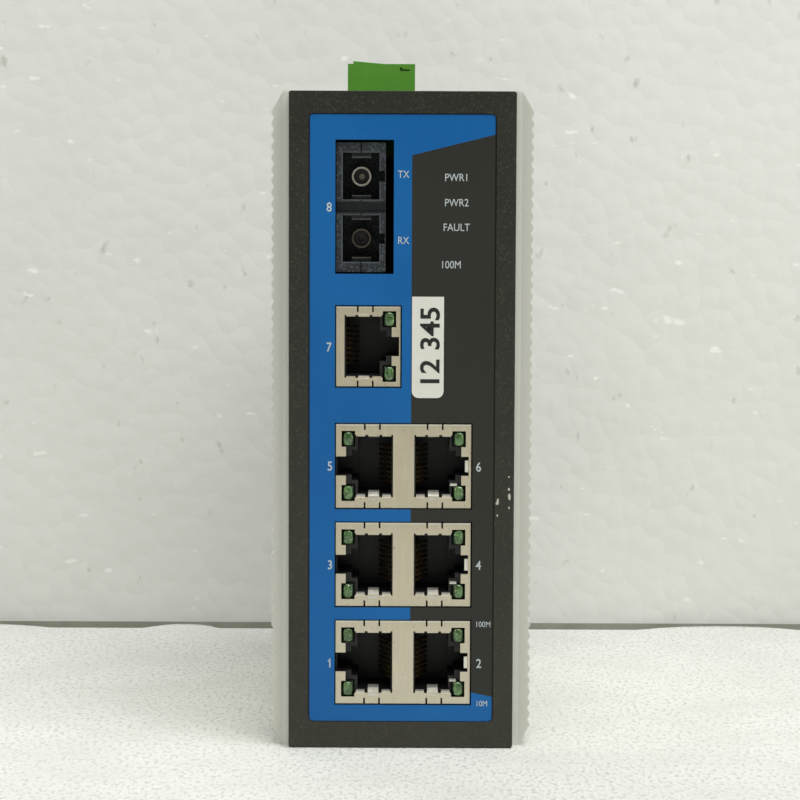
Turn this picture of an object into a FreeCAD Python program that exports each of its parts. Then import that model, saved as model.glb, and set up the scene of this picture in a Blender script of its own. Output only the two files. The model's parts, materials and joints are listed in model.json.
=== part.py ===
"""Eight-port Ethernet switch for a 35 mm top-hat rail.

Millimetres. X runs to the right seen from the front, Y from the front to the back, Z up. The
origin is at the middle of the base. The front bezel, the folded chassis and two finned side
panels make the case. The main board stands upright against the left panel and carries the fibre
transceiver, the jacks, the terminal header and the alarm switches. A plate for the rail is
screwed to the back.
"""
import FreeCAD, Part
import math
import os
import re
import Sketcher

Vector = FreeCAD.Vector

# Driving dimensions, one cell each: name, value.
SIZES = [
    # allowances
    ("cutter_reach", 1.0),
    ("hole_ease", 0.4),
    ("board_hole_ease", 0.2),
    ("window_gap", 0.6),
    # case
    ("case_width", 53.6),
    ("case_height", 135.0),
    ("case_depth", 105.0),
    # front bezel
    ("bezel_inset", 0.1),
    ("bezel_depth", 12.0),
    ("bezel_wall", 1.5),
    ("bezel_corner", 0.5),
    ("bezel_edge", 0.2),
    ("sheet_gap", 0.1),
    # overlay and its recess
    ("overlay_width", 38.2),
    ("overlay_height", 124.9),
    ("overlay_rise", 0.45),
    ("overlay_corner", 1.2),
    ("overlay_recess", 0.45),
    ("overlay_film", 0.25),
    ("overlay_gap", 0.12),
    ("tape_width", 6.5),
    ("tape_height", 20.7),
    ("tape_film", 0.12),
    ("tape_centre_x", 5.3),
    ("tape_centre_z", 82.9),
    ("tape_corner", 1.4),
    # side panels
    ("panel_thickness", 3.7),
    ("panel_setback", 3.0),
    ("panel_shoulder", 1.3),
    ("panel_shoulder_drop", 4.3),
    ("fin_count", 54),
    ("fin_tip", 0.35),
    ("fin_height", 0.55),
    ("panel_screw_flat", 1.1),
    ("screw_flat_ease", 1.6),
    ("flange_screw_shift", 1.0),
    # folded chassis
    ("sheet", 1.2),
    ("flange", 9.0),
    ("vent_length", 9.0),
    ("vent_width", 2.0),
    ("vent_pitch", 4.0),
    ("vent_count", 7),
    ("vent_front", 14.0),
    ("vent_right_x", 7.0),
    # fasteners
    ("screw_shank", 2.9),
    ("screw_hole", 3.0),
    ("screw_head", 5.6),
    ("screw_head_height", 1.7),
    ("screw_length", 7.0),
    ("panel_screw_length", 4.5),
    ("driver_slot", 0.8),
    ("driver_depth", 0.8),
    # main board
    ("board_face_x", -13.45),
    ("board_thickness", 1.6),
    ("board_front", 9.0),
    ("board_length", 90.0),
    ("board_bottom", 6.0),
    ("board_top", 130.0),
    ("standoff_flats", 5.5),
    ("standoff_hole_room", 0.5),
    ("board_hole_front", 20.0),
    ("board_hole_back", 8.0),
    ("board_hole_low", 8.0),
    ("board_hole_high", 12.0),
    ("board_hole_above_jack", 11.8),
    # jacks
    ("jack_setback", 0.55),
    ("jack_sheet", 0.3),
    ("jack_centre_x", 0.45),
    ("jack_width", 27.7),
    ("jack_height", 17.3),
    ("jack_depth", 25.0),
    ("jack_clearance", 0.25),
    ("insert_gap", 0.05),
    ("insert_setback", 1.7),
    ("row_pitch", 20.32),
    ("first_row", 17.85),
    ("single_jack_z", 83.03),
    ("single_jack_height", 16.4),
    ("single_jack_depth", 21.0),
    ("single_jack_rim", 1.72),
    # one port, measured outward from the middle web
    ("port_web", 2.18),
    ("port_reach", 9.65),
    ("port_span", 12.87),
    ("key_reach", 1.5),
    ("key_span", 3.96),
    ("cavity_start", 0.3),
    ("cavity_reach", 6.9),
    ("cavity_span", 11.9),
    ("cavity_depth", 14.0),
    ("step_reach", 1.3),
    ("step_span", 6.2),
    ("step_end_wall", 1.0),
    ("left_key_overrun", 0.3),
    ("lens_offset", 7.8),
    ("lens_window", 2.75),
    ("lens_span", 3.3),
    ("lens_centre", 5.58),
    ("lens_gap", 0.2),
    ("lens_length", 8.0),
    ("lip_start", 0.35),
    ("side_lip_width", 1.85),
    ("middle_lip_width", 2.3),
    ("lip_gap", 0.6),
    ("lip_length", 1.2),
    ("slit_width", 0.35),
    ("slit_length", 1.2),
    ("slit_depth", 4.0),
    ("finger_width", 3.1),
    ("finger_offset", 4.25),
    ("contact_count", 8),
    ("contact_pitch", 1.016),
    ("contact_width", 0.45),
    ("contact_wire", 0.32),
    ("contact_rise", 2.6),
    ("contact_root", 1.2),
    ("contact_bend", 1.2),
    ("contact_end", 3.4),
    ("contact_cut", 0.4),
    ("contact_slope", 0.2),
    # fibre transceiver
    ("fibre_z", 111.35),
    ("fibre_thickness", 10.05),
    ("fibre_span", 26.3),
    ("fibre_setback", 1.0),
    ("fibre_depth", 13.0),
    ("fibre_module_depth", 28.0),
    ("fibre_module_inset", 0.7),
    ("fibre_cut_width", 11.9),
    ("fibre_cut_height", 27.2),
    ("fibre_cut_rise", 0.1),
    ("fibre_pitch", 12.7),
    ("socket_thickness", 7.5),
    ("socket_span", 9.5),
    ("socket_depth", 12.0),
    ("socket_bevel", 0.2),
    ("web_groove_span", 2.0),
    ("web_groove_depth", 1.2),
    ("socket_key_span", 2.1),
    ("socket_key_reach", 1.1),
    ("hook_width", 3.9),
    ("hook_height", 0.9),
    ("hook_setback", 5.0),
    ("hook_depth", 3.0),
    ("hook_root", 0.3),
    ("sleeve_diameter", 4.0),
    ("sleeve_bore", 3.2),
    ("sleeve_length", 6.0),
    ("sleeve_floor", 1.0),
    ("guide_diameter", 3.0),
    ("guide_bore", 1.3),
    ("guide_setback", 1.2),
    ("split_width", 0.3),
    ("split_depth", 0.8),
    # terminal plug and header
    ("pole_pitch", 5.08),
    ("pole_count", 6),
    ("plug_front", 44.0),
    ("plug_left", -12.1),
    ("plug_width", 14.8),
    ("plug_proud", 8.5),
    ("plug_ridge", 0.6),
    ("plug_ridge_start", 1.2),
    ("plug_ridge_end", 7.9),
    ("notch_from_side", 1.2),
    ("notch_width", 2.1),
    ("notch_drop", 0.8),
    ("notch_height", 0.8),
    ("notch_step", 0.5),
    ("notch_depth", 0.8),
    ("plug_skirt", 1.2),
    ("nose_width", 10.0),
    ("nose_length", 8.0),
    ("nose_inset", 1.1),
    ("header_wall", 1.0),
    ("header_floor", 2.0),
    ("header_gap", 0.15),
    ("pin_side", 1.0),
    ("pin_length", 7.0),
    ("entry_width", 3.4),
    ("entry_height", 3.4),
    ("clamp_from_side", 9.4),
    ("clamp_side", 3.2),
    ("clamp_length", 3.6),
    ("clamp_wall", 0.4),
    ("clamp_travel", 1.0),
    ("clamp_height", 3.6),
    ("terminal_screw", 2.4),
    ("terminal_head", 3.2),
    ("terminal_head_height", 1.4),
    ("terminal_screw_drop", 5.2),
    ("terminal_gap", 0.15),
    ("terminal_recess", 0.5),
    ("terminal_screw_length", 6.4),
    ("pin_room", 2.0),
    ("pin_end_room", 0.3),
    ("clamp_bore_ease", 0.2),
    # alarm switches
    ("switch_front", 77.0),
    ("switch_pitch", 2.54),
    ("switch_count", 8),
    ("switch_width", 9.6),
    ("switch_height", 5.5),
    ("switch_drop", 1.6),
    ("switch_end", 0.7),
    ("lever_slot", 3.6),
    ("lever_slot_width", 1.2),
    ("lever_slot_depth", 1.6),
    ("lever_length", 1.5),
    ("lever_width", 0.9),
    ("lever_height", 1.9),
    ("lever_travel", 1.8),
    # earth screw
    ("earth_x", 12.0),
    ("earth_y", 92.0),
    ("earth_head", 7.0),
    ("earth_head_height", 2.2),
    ("earth_shank", 3.9),
    ("earth_hole", 4.0),
    ("earth_length", 6.0),
    # rail plate
    ("rail_plate_width", 50.0),
    ("rail_plate_height", 131.0),
    ("rail_plate_sheet", 2.5),
    ("rail_centre_z", 70.0),
    ("rail_height", 35.0),
    ("rail_slot", 1.8),
    ("rail_ease", 0.3),
    ("rail_lip", 2.7),
    ("rail_lower_lip", 3.0),
    ("rail_upper_lip", 2.4),
    ("rail_block", 5.0),
    ("spring_room", 5.2),
    ("spring_wire", 1.3),
    ("spring_span", 42.0),
    ("spring_bow", 3.4),
    ("spring_end_gap", 0.15),
    ("rail_lip_round", 0.8),
    ("plate_corner", 2.0),
    ("plate_screw_x", 16.0),
    ("plate_screw_z", 9.0),
    # parts on the board, placed from the front face and the base
    ("chip_from_front", 62.0),
    ("chip_z", 52.0),
    ("chip_side", 14.0),
    ("chip_height", 1.6),
    ("magnetics_from_front", 34.0),
    ("magnetics_length", 15.0),
    ("magnetics_width", 9.5),
    ("magnetics_height", 6.0),
    ("relay_from_front", 68.0),
    ("relay_z", 100.0),
    ("relay_length", 20.0),
    ("relay_width", 10.0),
    ("relay_height", 11.0),
    ("capacitor_from_front", 70.0),
    ("capacitor_z", 86.0),
    ("capacitor_pitch", 12.0),
    ("capacitor_diameter", 10.0),
    ("capacitor_height", 16.0),
    # status lights
    ("lamp_pitch", 5.05),
    ("lamp_run", 3.5),
    ("lamp_x", 6.6),
    ("lamp_top_z", 117.5),
    ("lamp_hole", 2.4),
    ("lamp_guide", 2.0),
    ("lamp_bar_width", 4.0),
    ("lamp_bar_depth", 3.0),
    ("lamp_bar_end", 3.0),
    ("lamp_root", 1.0),
]

# Places worked out from the driving dimensions: name, formula.
DERIVED = [
    ("rail_plate_depth", "rail_plate_sheet + rail_slot + rail_lip"),
    ("front", "-(case_depth + rail_plate_depth) / 2"),
    ("back", "front + case_depth"),
    ("bezel_width", "case_width - 2 * panel_thickness"),
    ("panel_length", "case_depth - panel_setback"),
    ("panel_front", "front + panel_setback"),
    ("fin_pitch", "(case_height - 2 * panel_shoulder_drop) / fin_count"),
    ("overlay_centre_z", "case_height / 2 + overlay_rise"),
    ("overlay_face", "front + overlay_recess - overlay_film"),
    ("chassis_front", "front + bezel_depth + sheet_gap"),
    ("chassis_length", "case_depth - bezel_depth - sheet_gap"),
    ("jack_face", "front + jack_setback"),
    ("cavity_end", "cavity_start + cavity_reach"),
    ("step_end", "cavity_end + step_reach"),
    ("fibre_face", "front + fibre_setback"),
    ("fibre_left", "board_face_x"),
    ("fibre_centre_x", "board_face_x + fibre_thickness / 2"),
    ("single_jack_web", "board_face_x + single_jack_rim"),
    ("plug_length", "pole_count * pole_pitch"),
    ("plug_y", "front + plug_front"),
    ("plug_top", "case_height + plug_proud"),
    ("plug_base", "case_height - sheet - plug_skirt"),
    ("nose_left", "plug_left + nose_inset"),
    ("nose_base", "plug_base - nose_length"),
    ("header_left", "board_face_x"),
    ("header_top", "plug_base - header_gap"),
    ("first_pole_y", "plug_y + pole_pitch / 2"),
    ("switch_y", "front + switch_front"),
    ("switch_length", "switch_count * switch_pitch + 2 * switch_end"),
    ("switch_top", "case_height - switch_drop"),
    ("switch_left", "board_face_x"),
    ("clamp_x", "plug_left + clamp_from_side"),
    ("pin_x", "nose_left + nose_width / 2"),
    ("lever_x", "switch_left + switch_width / 2"),
    ("first_lever_y", "switch_y + (switch_length - (switch_count - 1) * switch_pitch) / 2"),
    ("terminal_z", "plug_top - terminal_screw_drop"),
    ("plate_low", "(case_height - rail_plate_height) / 2"),
    ("plate_high", "(case_height + rail_plate_height) / 2"),
    ("rail_low", "rail_centre_z - rail_height / 2 - rail_ease"),
    ("rail_high", "rail_centre_z + rail_height / 2"),
    ("board_y", "front + board_front"),
    ("board_back_x", "board_face_x - board_thickness"),
]

doc = FreeCAD.newDocument("ethernet_switch")
sheet = doc.addObject("Spreadsheet::Sheet", "Sizes")
for row, (name, size) in enumerate(SIZES + DERIVED, start=1):
    sheet.set(f"A{row}", name)
    sheet.set(f"B{row}", str(size) if (name, size) in SIZES else "=" + size)
    sheet.setAlias(f"B{row}", name)
doc.recompute()
NAMES = {name for name, size in SIZES + DERIVED}


def in_sheet(formula):
    """The formula with each size's name pointing at its cell."""
    return re.sub(r"[a-z_]+", lambda word: "Sizes." + word[0] if word[0] in NAMES else word[0], str(formula))


def bind(thing, **formulas):
    """Bind properties to formulas; a double underscore in a keyword stands for a dot."""
    for path, formula in formulas.items():
        thing.setExpression(path.replace("__", "."), in_sheet(formula))


def place(thing, x="0", y="0", z="0"):
    """Put an object's own origin at a point given by formulas."""
    bind(thing, Placement__Base__x=x, Placement__Base__y=y, Placement__Base__z=z)


# Sketches and features


def new_body(label):
    """An empty body whose label names its file."""
    body = doc.addObject("PartDesign::Body", label)
    body.Label = label
    return body


def origin_feature(body, role):
    """One of the body's own origin planes or axes."""
    return next(feature for feature in body.Origin.OriginFeatures if feature.Role == role)


def sketch_on(body, role, distance="0"):
    """A sketch on an origin plane of the body, moved along +X, +Y or +Z by a formula.

    Its own axes are X and Z on the XZ plane, Y and Z on the YZ plane, X and Y on the XY plane.
    """
    sketch = body.newObject("Sketcher::SketchObject", body.Label + "_sketch")
    sketch.AttachmentSupport = [(origin_feature(body, role), "")]
    sketch.MapMode = "FlatFace"
    sign = "-" if role == "XZ_Plane" else ""
    bind(sketch, AttachmentOffset__Base__z=f"{sign}({distance})")
    return sketch


def fix_point(sketch, curve, end, across, up, near=None):
    """Hold one end of a curve at a point given by two formulas, from a first guess of it."""
    guess = near or Vector(1.0 + curve, 1.0 + curve, 0)
    for direction, formula, start in (("DistanceX", across, guess.x), ("DistanceY", up, guess.y)):
        index = sketch.addConstraint(Sketcher.Constraint(direction, -1, 1, curve, end, start))
        sketch.setExpression(f"Constraints[{index}]", in_sheet(formula))


def outline(sketch, corners):
    """A closed outline of straight lines through corners, each a pair of formulas."""
    first = sketch.GeometryCount
    count = len(corners)
    for number in range(count):
        start = Vector(number, number * number, 0)
        end = Vector(number + 1, (number + 1) ** 2, 0)
        sketch.addGeometry(Part.LineSegment(start, end))
    for number in range(count):
        following = first + (number + 1) % count
        sketch.addConstraint(Sketcher.Constraint("Coincident", first + number, 2, following, 1))
    for number, (across, up) in enumerate(corners):
        fix_point(sketch, first + number, 1, across, up)


def rectangle(sketch, left, right, low, high):
    """A rectangle between four formulas."""
    outline(sketch, [(left, low), (right, low), (right, high), (left, high)])


def circle(sketch, across, up, diameter):
    """A circle at a point, all by formulas."""
    curve = sketch.addGeometry(Part.Circle(Vector(0, 0, 0), Vector(0, 0, 1), 1.0))
    fix_point(sketch, curve, 3, across, up)
    index = sketch.addConstraint(Sketcher.Constraint("Diameter", curve, 2.0))
    sketch.setExpression(f"Constraints[{index}]", in_sheet(diameter))


def feature(body, kind, sketch, length, towards_plus):
    """A Pad or Pocket of a sketch by a length, towards +X, +Y or +Z or away from it."""
    made = body.newObject("PartDesign::" + kind, body.Label + "_" + kind.lower())
    made.Profile = sketch
    bind(made, Length=length)
    on_xz = origin_feature(body, "XZ_Plane") == sketch.AttachmentSupport[0][0]
    normal_is_plus = not on_xz
    if kind == "Pad":
        made.Reversed = normal_is_plus != towards_plus
    else:
        made.Reversed = normal_is_plus == towards_plus
    body.Tip = made
    return made


def pad(body, sketch, length, towards_plus=True):
    """Material from the sketch, towards the plus side unless told otherwise."""
    return feature(body, "Pad", sketch, length, towards_plus)


def pocket(body, sketch, length, towards_plus=True):
    """A cut from the sketch, towards the plus side unless told otherwise."""
    return feature(body, "Pocket", sketch, length, towards_plus)


def repeat(body, original, axis_role, spacing_length, count):
    """A row of copies of a feature along one of the body's axes."""
    pattern = body.newObject("PartDesign::LinearPattern", body.Label + "_row")
    pattern.Originals = [original]
    pattern.Direction = (origin_feature(body, axis_role), [""])
    bind(pattern, Length=spacing_length, Occurrences=count)
    body.Tip = pattern
    return pattern


def edges_along(shape, axis, test):
    """Names of the straight edges of a shape that run along an axis and pass a test."""
    names = []
    for number, edge in enumerate(shape.Edges, start=1):
        if len(edge.Vertexes) != 2 or not isinstance(edge.Curve, Part.Line):
            continue
        run = edge.Vertexes[1].Point - edge.Vertexes[0].Point
        if abs(abs(run.normalize().dot(axis)) - 1) < 1e-6 and test(edge.CenterOfMass):
            names.append(f"Edge{number}")
    return names


def round_edges(body, kind, size, names):
    """A Fillet or Chamfer of named edges of the body's tip."""
    tip = body.Tip
    made = body.newObject("PartDesign::" + kind, body.Label + "_" + kind.lower())
    made.Base = (tip, names)
    bind(made, **{"Radius" if kind == "Fillet" else "Size": size})
    body.Tip = made
    return made


# Primitives, for the pieces that are plain turned, cut or moulded blocks


def block(name, x, y, z, length, width, height):
    """A block from its low corner, all by formulas."""
    made = doc.addObject("Part::Box", name)
    bind(made, Length=length, Width=width, Height=height)
    place(made, x, y, z)
    return made


AXIS_TURN = {
    "+X": FreeCAD.Rotation(Vector(0, 1, 0), 90),
    "-X": FreeCAD.Rotation(Vector(0, 1, 0), -90),
    "+Y": FreeCAD.Rotation(Vector(1, 0, 0), -90),
    "-Y": FreeCAD.Rotation(Vector(1, 0, 0), 90),
    "+Z": FreeCAD.Rotation(),
    "-Z": FreeCAD.Rotation(Vector(1, 0, 0), 180),
}


def rod(name, x, y, z, diameter, length, along="+Z"):
    """A round rod that starts at a point and runs along an axis."""
    made = doc.addObject("Part::Cylinder", name)
    made.Placement.Rotation = AXIS_TURN[along]
    bind(made, Radius=f"({diameter}) / 2", Height=length)
    place(made, x, y, z)
    return made


def fused(name, pieces):
    """One solid from several that overlap or meet."""
    made = doc.addObject("Part::MultiFuse", name)
    made.Shapes = pieces
    made.Refine = True
    return made


def cut(name, base, tool):
    """A solid less another."""
    made = doc.addObject("Part::Cut", name)
    made.Base = base
    made.Tool = tool
    return made


def group(label, pieces):
    """Like pieces kept as separate solids in one node."""
    made = doc.addObject("Part::Compound", label)
    made.Label = label
    made.Links = pieces
    return made


NODES = []


def node(thing, label=None):
    """Count an object as one node of the assembly."""
    if label:
        thing.Label = label
    NODES.append(thing)
    return thing


# Windows through the front, shared by the bezel and the overlay: left, right, low, high


def row_z(row):
    """Height of the middle of a row of double jacks, counted from the bottom."""
    return f"(first_row + {row} * row_pitch)"


DOUBLE_ROWS = (0, 1, 2)
WINDOWS = [
    (
        "jack_centre_x - jack_width / 2 - jack_clearance",
        "jack_centre_x + jack_width / 2 + jack_clearance",
        f"{row_z(row)} - jack_height / 2 - jack_clearance",
        f"{row_z(row)} + jack_height / 2 + jack_clearance",
    )
    for row in DOUBLE_ROWS
]
WINDOWS.append((
    "jack_centre_x - jack_width / 2 - jack_clearance",
    "single_jack_web + port_reach + key_reach + jack_sheet + jack_clearance",
    "single_jack_z - single_jack_height / 2 - jack_clearance",
    "single_jack_z + single_jack_height / 2 + jack_clearance",
))
WINDOWS.append((
    "jack_centre_x - jack_width / 2 - jack_clearance",
    "jack_centre_x - jack_width / 2 - jack_clearance + fibre_cut_width",
    "fibre_z + fibre_cut_rise - fibre_cut_height / 2",
    "fibre_z + fibre_cut_rise + fibre_cut_height / 2",
))

# Status lamps stand in a column behind the overlay; the last is lower than an even pitch.
LAMP_DROPS = ("0", "lamp_pitch", "2 * lamp_pitch", "lamp_run * lamp_pitch")


# Front bezel: a formed tray, open at the back, with a shallow recess for the overlay


def make_bezel():
    body = new_body("front_bezel")
    shell = sketch_on(body, "XZ_Plane", "front")
    low = "bezel_inset"
    high = "case_height - bezel_inset"
    rectangle(shell, "-bezel_width / 2", "bezel_width / 2", low, high)
    pad(body, shell, "bezel_depth")
    doc.recompute()
    corners = edges_along(body.Shape, Vector(0, 1, 0), lambda middle: True)
    round_edges(body, "Fillet", "bezel_corner", corners)
    doc.recompute()
    front = sheet.get("front")
    rim = [
        f"Edge{number}"
        for number, edge in enumerate(body.Shape.Edges, start=1)
        if abs(edge.BoundBox.YMin - front) < 1e-6 and abs(edge.BoundBox.YMax - front) < 1e-6
    ]
    round_edges(body, "Fillet", "bezel_edge", rim)
    hollow = sketch_on(body, "XZ_Plane", "front + bezel_wall")
    rectangle(
        hollow,
        "-bezel_width / 2 + bezel_wall",
        "bezel_width / 2 - bezel_wall",
        low + " + bezel_wall",
        high + " - bezel_wall",
    )
    pocket(body, hollow, "bezel_depth - bezel_wall")
    recess = sketch_on(body, "XZ_Plane", "front")
    rectangle(
        recess,
        "-overlay_width / 2",
        "overlay_width / 2",
        "overlay_centre_z - overlay_height / 2",
        "overlay_centre_z + overlay_height / 2",
    )
    pocket(body, recess, "overlay_recess")
    doc.recompute()
    half = sheet.get("overlay_width") / 2
    depth = sheet.get("overlay_recess")
    recess_corners = edges_along(
        body.Shape,
        Vector(0, 1, 0),
        lambda middle: abs(abs(middle.x) - half) < 1e-6 and middle.y < front + depth,
    )
    round_edges(body, "Fillet", "overlay_corner", recess_corners)
    windows = sketch_on(body, "XZ_Plane", "front")
    for window in WINDOWS:
        rectangle(windows, *window)
    for drop in LAMP_DROPS:
        circle(windows, "lamp_x", f"lamp_top_z - {drop}", "lamp_hole")
    pocket(body, windows, "bezel_wall + cutter_reach")
    return body


# Overlay: a printed film stuck in the recess, with the same windows as the bezel


def make_overlay():
    body = new_body("front_overlay")
    film = sketch_on(body, "XZ_Plane", "overlay_face")
    rectangle(
        film,
        "-overlay_width / 2 + overlay_gap",
        "overlay_width / 2 - overlay_gap",
        "overlay_centre_z - overlay_height / 2 + overlay_gap",
        "overlay_centre_z + overlay_height / 2 - overlay_gap",
    )
    pad(body, film, "overlay_film")
    doc.recompute()
    corners = edges_along(body.Shape, Vector(0, 1, 0), lambda middle: True)
    round_edges(body, "Fillet", "overlay_corner - overlay_gap", corners)
    windows = sketch_on(body, "XZ_Plane", "overlay_face")
    for window in WINDOWS:
        rectangle(windows, *window)
    pocket(body, windows, "overlay_film")
    return body


def make_name_tape():
    """A strip of label tape with two rounded lower corners, stuck on the overlay."""
    body = new_body("name_tape")
    strip = sketch_on(body, "XZ_Plane", "overlay_face - tape_film")
    rectangle(
        strip,
        "tape_centre_x - tape_width / 2",
        "tape_centre_x + tape_width / 2",
        "tape_centre_z - tape_height / 2",
        "tape_centre_z + tape_height / 2",
    )
    pad(body, strip, "tape_film")
    doc.recompute()
    middle_z = sheet.get("tape_centre_z")
    lower = edges_along(body.Shape, Vector(0, 1, 0), lambda middle: middle.z < middle_z)
    round_edges(body, "Fillet", "tape_corner", lower)
    return body


# Side panels: extruded aluminium with saw-tooth fins that run from the front to the back


def screw_places():
    """Depth and height of the four screws that hold each side panel to the chassis."""
    near = "chassis_front + flange / 2 + flange_screw_shift"
    far = "back - flange / 2 - flange_screw_shift"
    low = "flange / 2"
    high = "case_height - flange / 2"
    return [(near, low), (near, high), (far, low), (far, high)]


def make_side_panel(label, side):
    """One panel; side is 1 on the right and -1 on the left."""
    inner = f"{side} * bezel_width / 2"
    outer = f"{side} * case_width / 2"
    shoulder = f"{side} * (bezel_width / 2 + panel_shoulder)"
    body = new_body(label)
    section = sketch_on(body, "XZ_Plane", "panel_front")
    outline(section, [
        (inner, "0"),
        (shoulder, "0"),
        (outer, "panel_shoulder_drop"),
        (outer, "case_height - panel_shoulder_drop"),
        (shoulder, "case_height"),
        (inner, "case_height"),
    ])
    pad(body, section, "panel_length")
    groove = sketch_on(body, "XZ_Plane", "panel_front")
    outline(groove, [
        (outer, "panel_shoulder_drop + fin_tip / 2"),
        (outer, "panel_shoulder_drop + fin_pitch - fin_tip / 2"),
        (f"{side} * (case_width / 2 - fin_height)", "panel_shoulder_drop + fin_pitch / 2"),
    ])
    first_groove = pocket(body, groove, "panel_length")
    repeat(body, first_groove, "Z_Axis", "(fin_count - 1) * fin_pitch", "fin_count")
    holes = sketch_on(body, "YZ_Plane", outer)
    flats = sketch_on(body, "YZ_Plane", outer)
    for depth, height in screw_places():
        circle(holes, depth, height, "screw_hole + hole_ease")
        circle(flats, depth, height, "screw_head + screw_flat_ease")
    pocket(body, holes, "panel_thickness", towards_plus=side < 0)
    pocket(body, flats, "panel_screw_flat + screw_head_height", towards_plus=side < 0)
    return body


# Chassis: one folded steel sheet for the top, back and bottom, with turned-in side flanges


def make_chassis():
    body = new_body("chassis")
    outer = sketch_on(body, "XZ_Plane", "chassis_front")
    rectangle(outer, "-bezel_width / 2", "bezel_width / 2", "0", "case_height")
    pad(body, outer, "chassis_length")
    inside = sketch_on(body, "XZ_Plane", "chassis_front")
    rectangle(
        inside,
        "-bezel_width / 2 + sheet",
        "bezel_width / 2 - sheet",
        "sheet",
        "case_height - sheet",
    )
    pocket(body, inside, "chassis_length - sheet")
    sides = sketch_on(body, "YZ_Plane", "-bezel_width / 2")
    rectangle(sides, "chassis_front + flange", "back - flange", "flange", "case_height - flange")
    pocket(body, sides, "bezel_width")
    screws = sketch_on(body, "YZ_Plane", "-bezel_width / 2")
    for depth, height in screw_places():
        circle(screws, depth, height, "screw_hole")
    pocket(body, screws, "bezel_width")
    top_windows = sketch_on(body, "XY_Plane", "case_height")
    rectangle(
        top_windows,
        "plug_left - window_gap",
        "plug_left + plug_width + window_gap",
        "plug_y - window_gap",
        "plug_y + plug_length + window_gap",
    )
    rectangle(
        top_windows,
        "switch_left + window_gap",
        "switch_left + switch_width - window_gap",
        "switch_y + window_gap",
        "switch_y + switch_length - window_gap",
    )
    circle(top_windows, "earth_x", "front + earth_y", "earth_hole")
    pocket(body, top_windows, "sheet", towards_plus=False)
    vent_rows = (
        ("case_height", False, "vent_right_x"),
        ("0", True, "vent_right_x"),
        ("0", True, "-vent_right_x - vent_length"),
    )
    for height, towards_plus, left in vent_rows:
        vent = sketch_on(body, "XY_Plane", height)
        start = "chassis_front + vent_front"
        rectangle(vent, left, f"{left} + vent_length", start, start + " + vent_width")
        first_vent = pocket(body, vent, "sheet", towards_plus)
        repeat(body, first_vent, "Y_Axis", "(vent_count - 1) * vent_pitch", "vent_count")
    back_holes = sketch_on(body, "XZ_Plane", "back")
    for across, up in plate_screw_places():
        circle(back_holes, across, up, "screw_hole")
    pocket(body, back_holes, "sheet", towards_plus=False)
    return body


def plate_screw_places():
    """Across and up of the four screws that hold the rail plate to the back."""
    low = "(case_height - rail_plate_height) / 2 + plate_screw_z"
    high = "(case_height + rail_plate_height) / 2 - plate_screw_z"
    return [(f"{side} * plate_screw_x", up) for side in (-1, 1) for up in (low, high)]


node(make_bezel())
node(make_overlay())
node(make_name_tape())
node(make_side_panel("side_panel_left", -1))
node(make_side_panel("side_panel_right", 1))
node(make_chassis())


# Jacks: each a folded shield round a moulded insert, with eight contacts and two lamps a port


class Port:
    """One socket, measured outward from its web edge towards its latch side."""

    def __init__(self, web, direction):
        self.web = web
        self.direction = direction

    def at(self, outward):
        """The x of a distance outward."""
        sign = "+" if self.direction > 0 else "-"
        return f"({self.web} {sign} ({outward}))"

    def box(self, near, far, low, high):
        """Left, right, low and high of a rectangle between two distances outward."""
        sides = [self.at(near), self.at(far)]
        if self.direction < 0:
            sides.reverse()
        return (*sides, low, high)


LEFT_PORT = Port("(jack_centre_x - port_web)", -1)
RIGHT_PORT = Port("(jack_centre_x + port_web)", 1)
SINGLE_PORT = Port("single_jack_web", 1)


class Jack:
    """The names and formulas that tell one jack from another."""

    def __init__(self, label, ports, left, right, height, depth, middle_z):
        self.label = label
        self.ports = ports
        self.left = left
        self.right = right
        self.height = height
        self.depth = depth
        self.middle_z = middle_z


JACKS = [
    Jack(
        f"double_jack_{row + 1}",
        [LEFT_PORT, RIGHT_PORT],
        "board_face_x",
        "jack_centre_x + jack_width / 2",
        "jack_height",
        "jack_depth",
        row_z(row),
    )
    for row in DOUBLE_ROWS
]
JACKS.append(Jack(
    "single_jack",
    [SINGLE_PORT],
    "board_face_x",
    "single_jack_web + port_reach + key_reach + jack_sheet",
    "single_jack_height",
    "single_jack_depth",
    "single_jack_z",
))


def seat_jack(thing, jack):
    """Put a jack's piece, drawn about the middle of its face, where the jack stands."""
    place(thing, "0", "jack_face", jack.middle_z)


def lamp_centres():
    """Heights of the middles of a port's two lamps."""
    return ("-lens_centre", "lens_centre")


def make_shield(jack):
    """The folded shield: a thin can, open towards the board, with the ports cut in its face."""
    body = new_body(jack.label + "_shield")
    half = f"{jack.height} / 2"
    can = sketch_on(body, "XZ_Plane")
    rectangle(can, jack.left, jack.right, "-" + half, half)
    pad(body, can, jack.depth)
    inside = sketch_on(body, "XZ_Plane", "jack_sheet")
    rectangle(
        inside,
        jack.left + " - cutter_reach",
        jack.right + " - jack_sheet",
        f"-{half} + jack_sheet",
        half + " - jack_sheet",
    )
    pocket(body, inside, f"{jack.depth} - 2 * jack_sheet")
    for port in jack.ports:
        opening = sketch_on(body, "XZ_Plane")
        rectangle(opening, *port.box("0", "port_reach", "-port_span / 2", "port_span / 2"))
        pocket(body, opening, "jack_sheet")
        key = sketch_on(body, "XZ_Plane")
        reach = "port_reach + key_reach"
        if port.direction < 0:
            reach += " + cutter_reach"
        rectangle(key, *port.box("port_reach - cutter_reach", reach, "-key_span / 2", "key_span / 2"))
        pocket(body, key, "jack_sheet")
        lamps = sketch_on(body, "XZ_Plane")
        for middle in lamp_centres():
            window = port.box(
                "lens_offset",
                "lens_offset + lens_window",
                middle + " - lens_span / 2",
                middle + " + lens_span / 2",
            )
            rectangle(lamps, *window)
        pocket(body, lamps, "jack_sheet")
        add_lips(body, port)
        add_slits(body, port, half)
    return body


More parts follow.
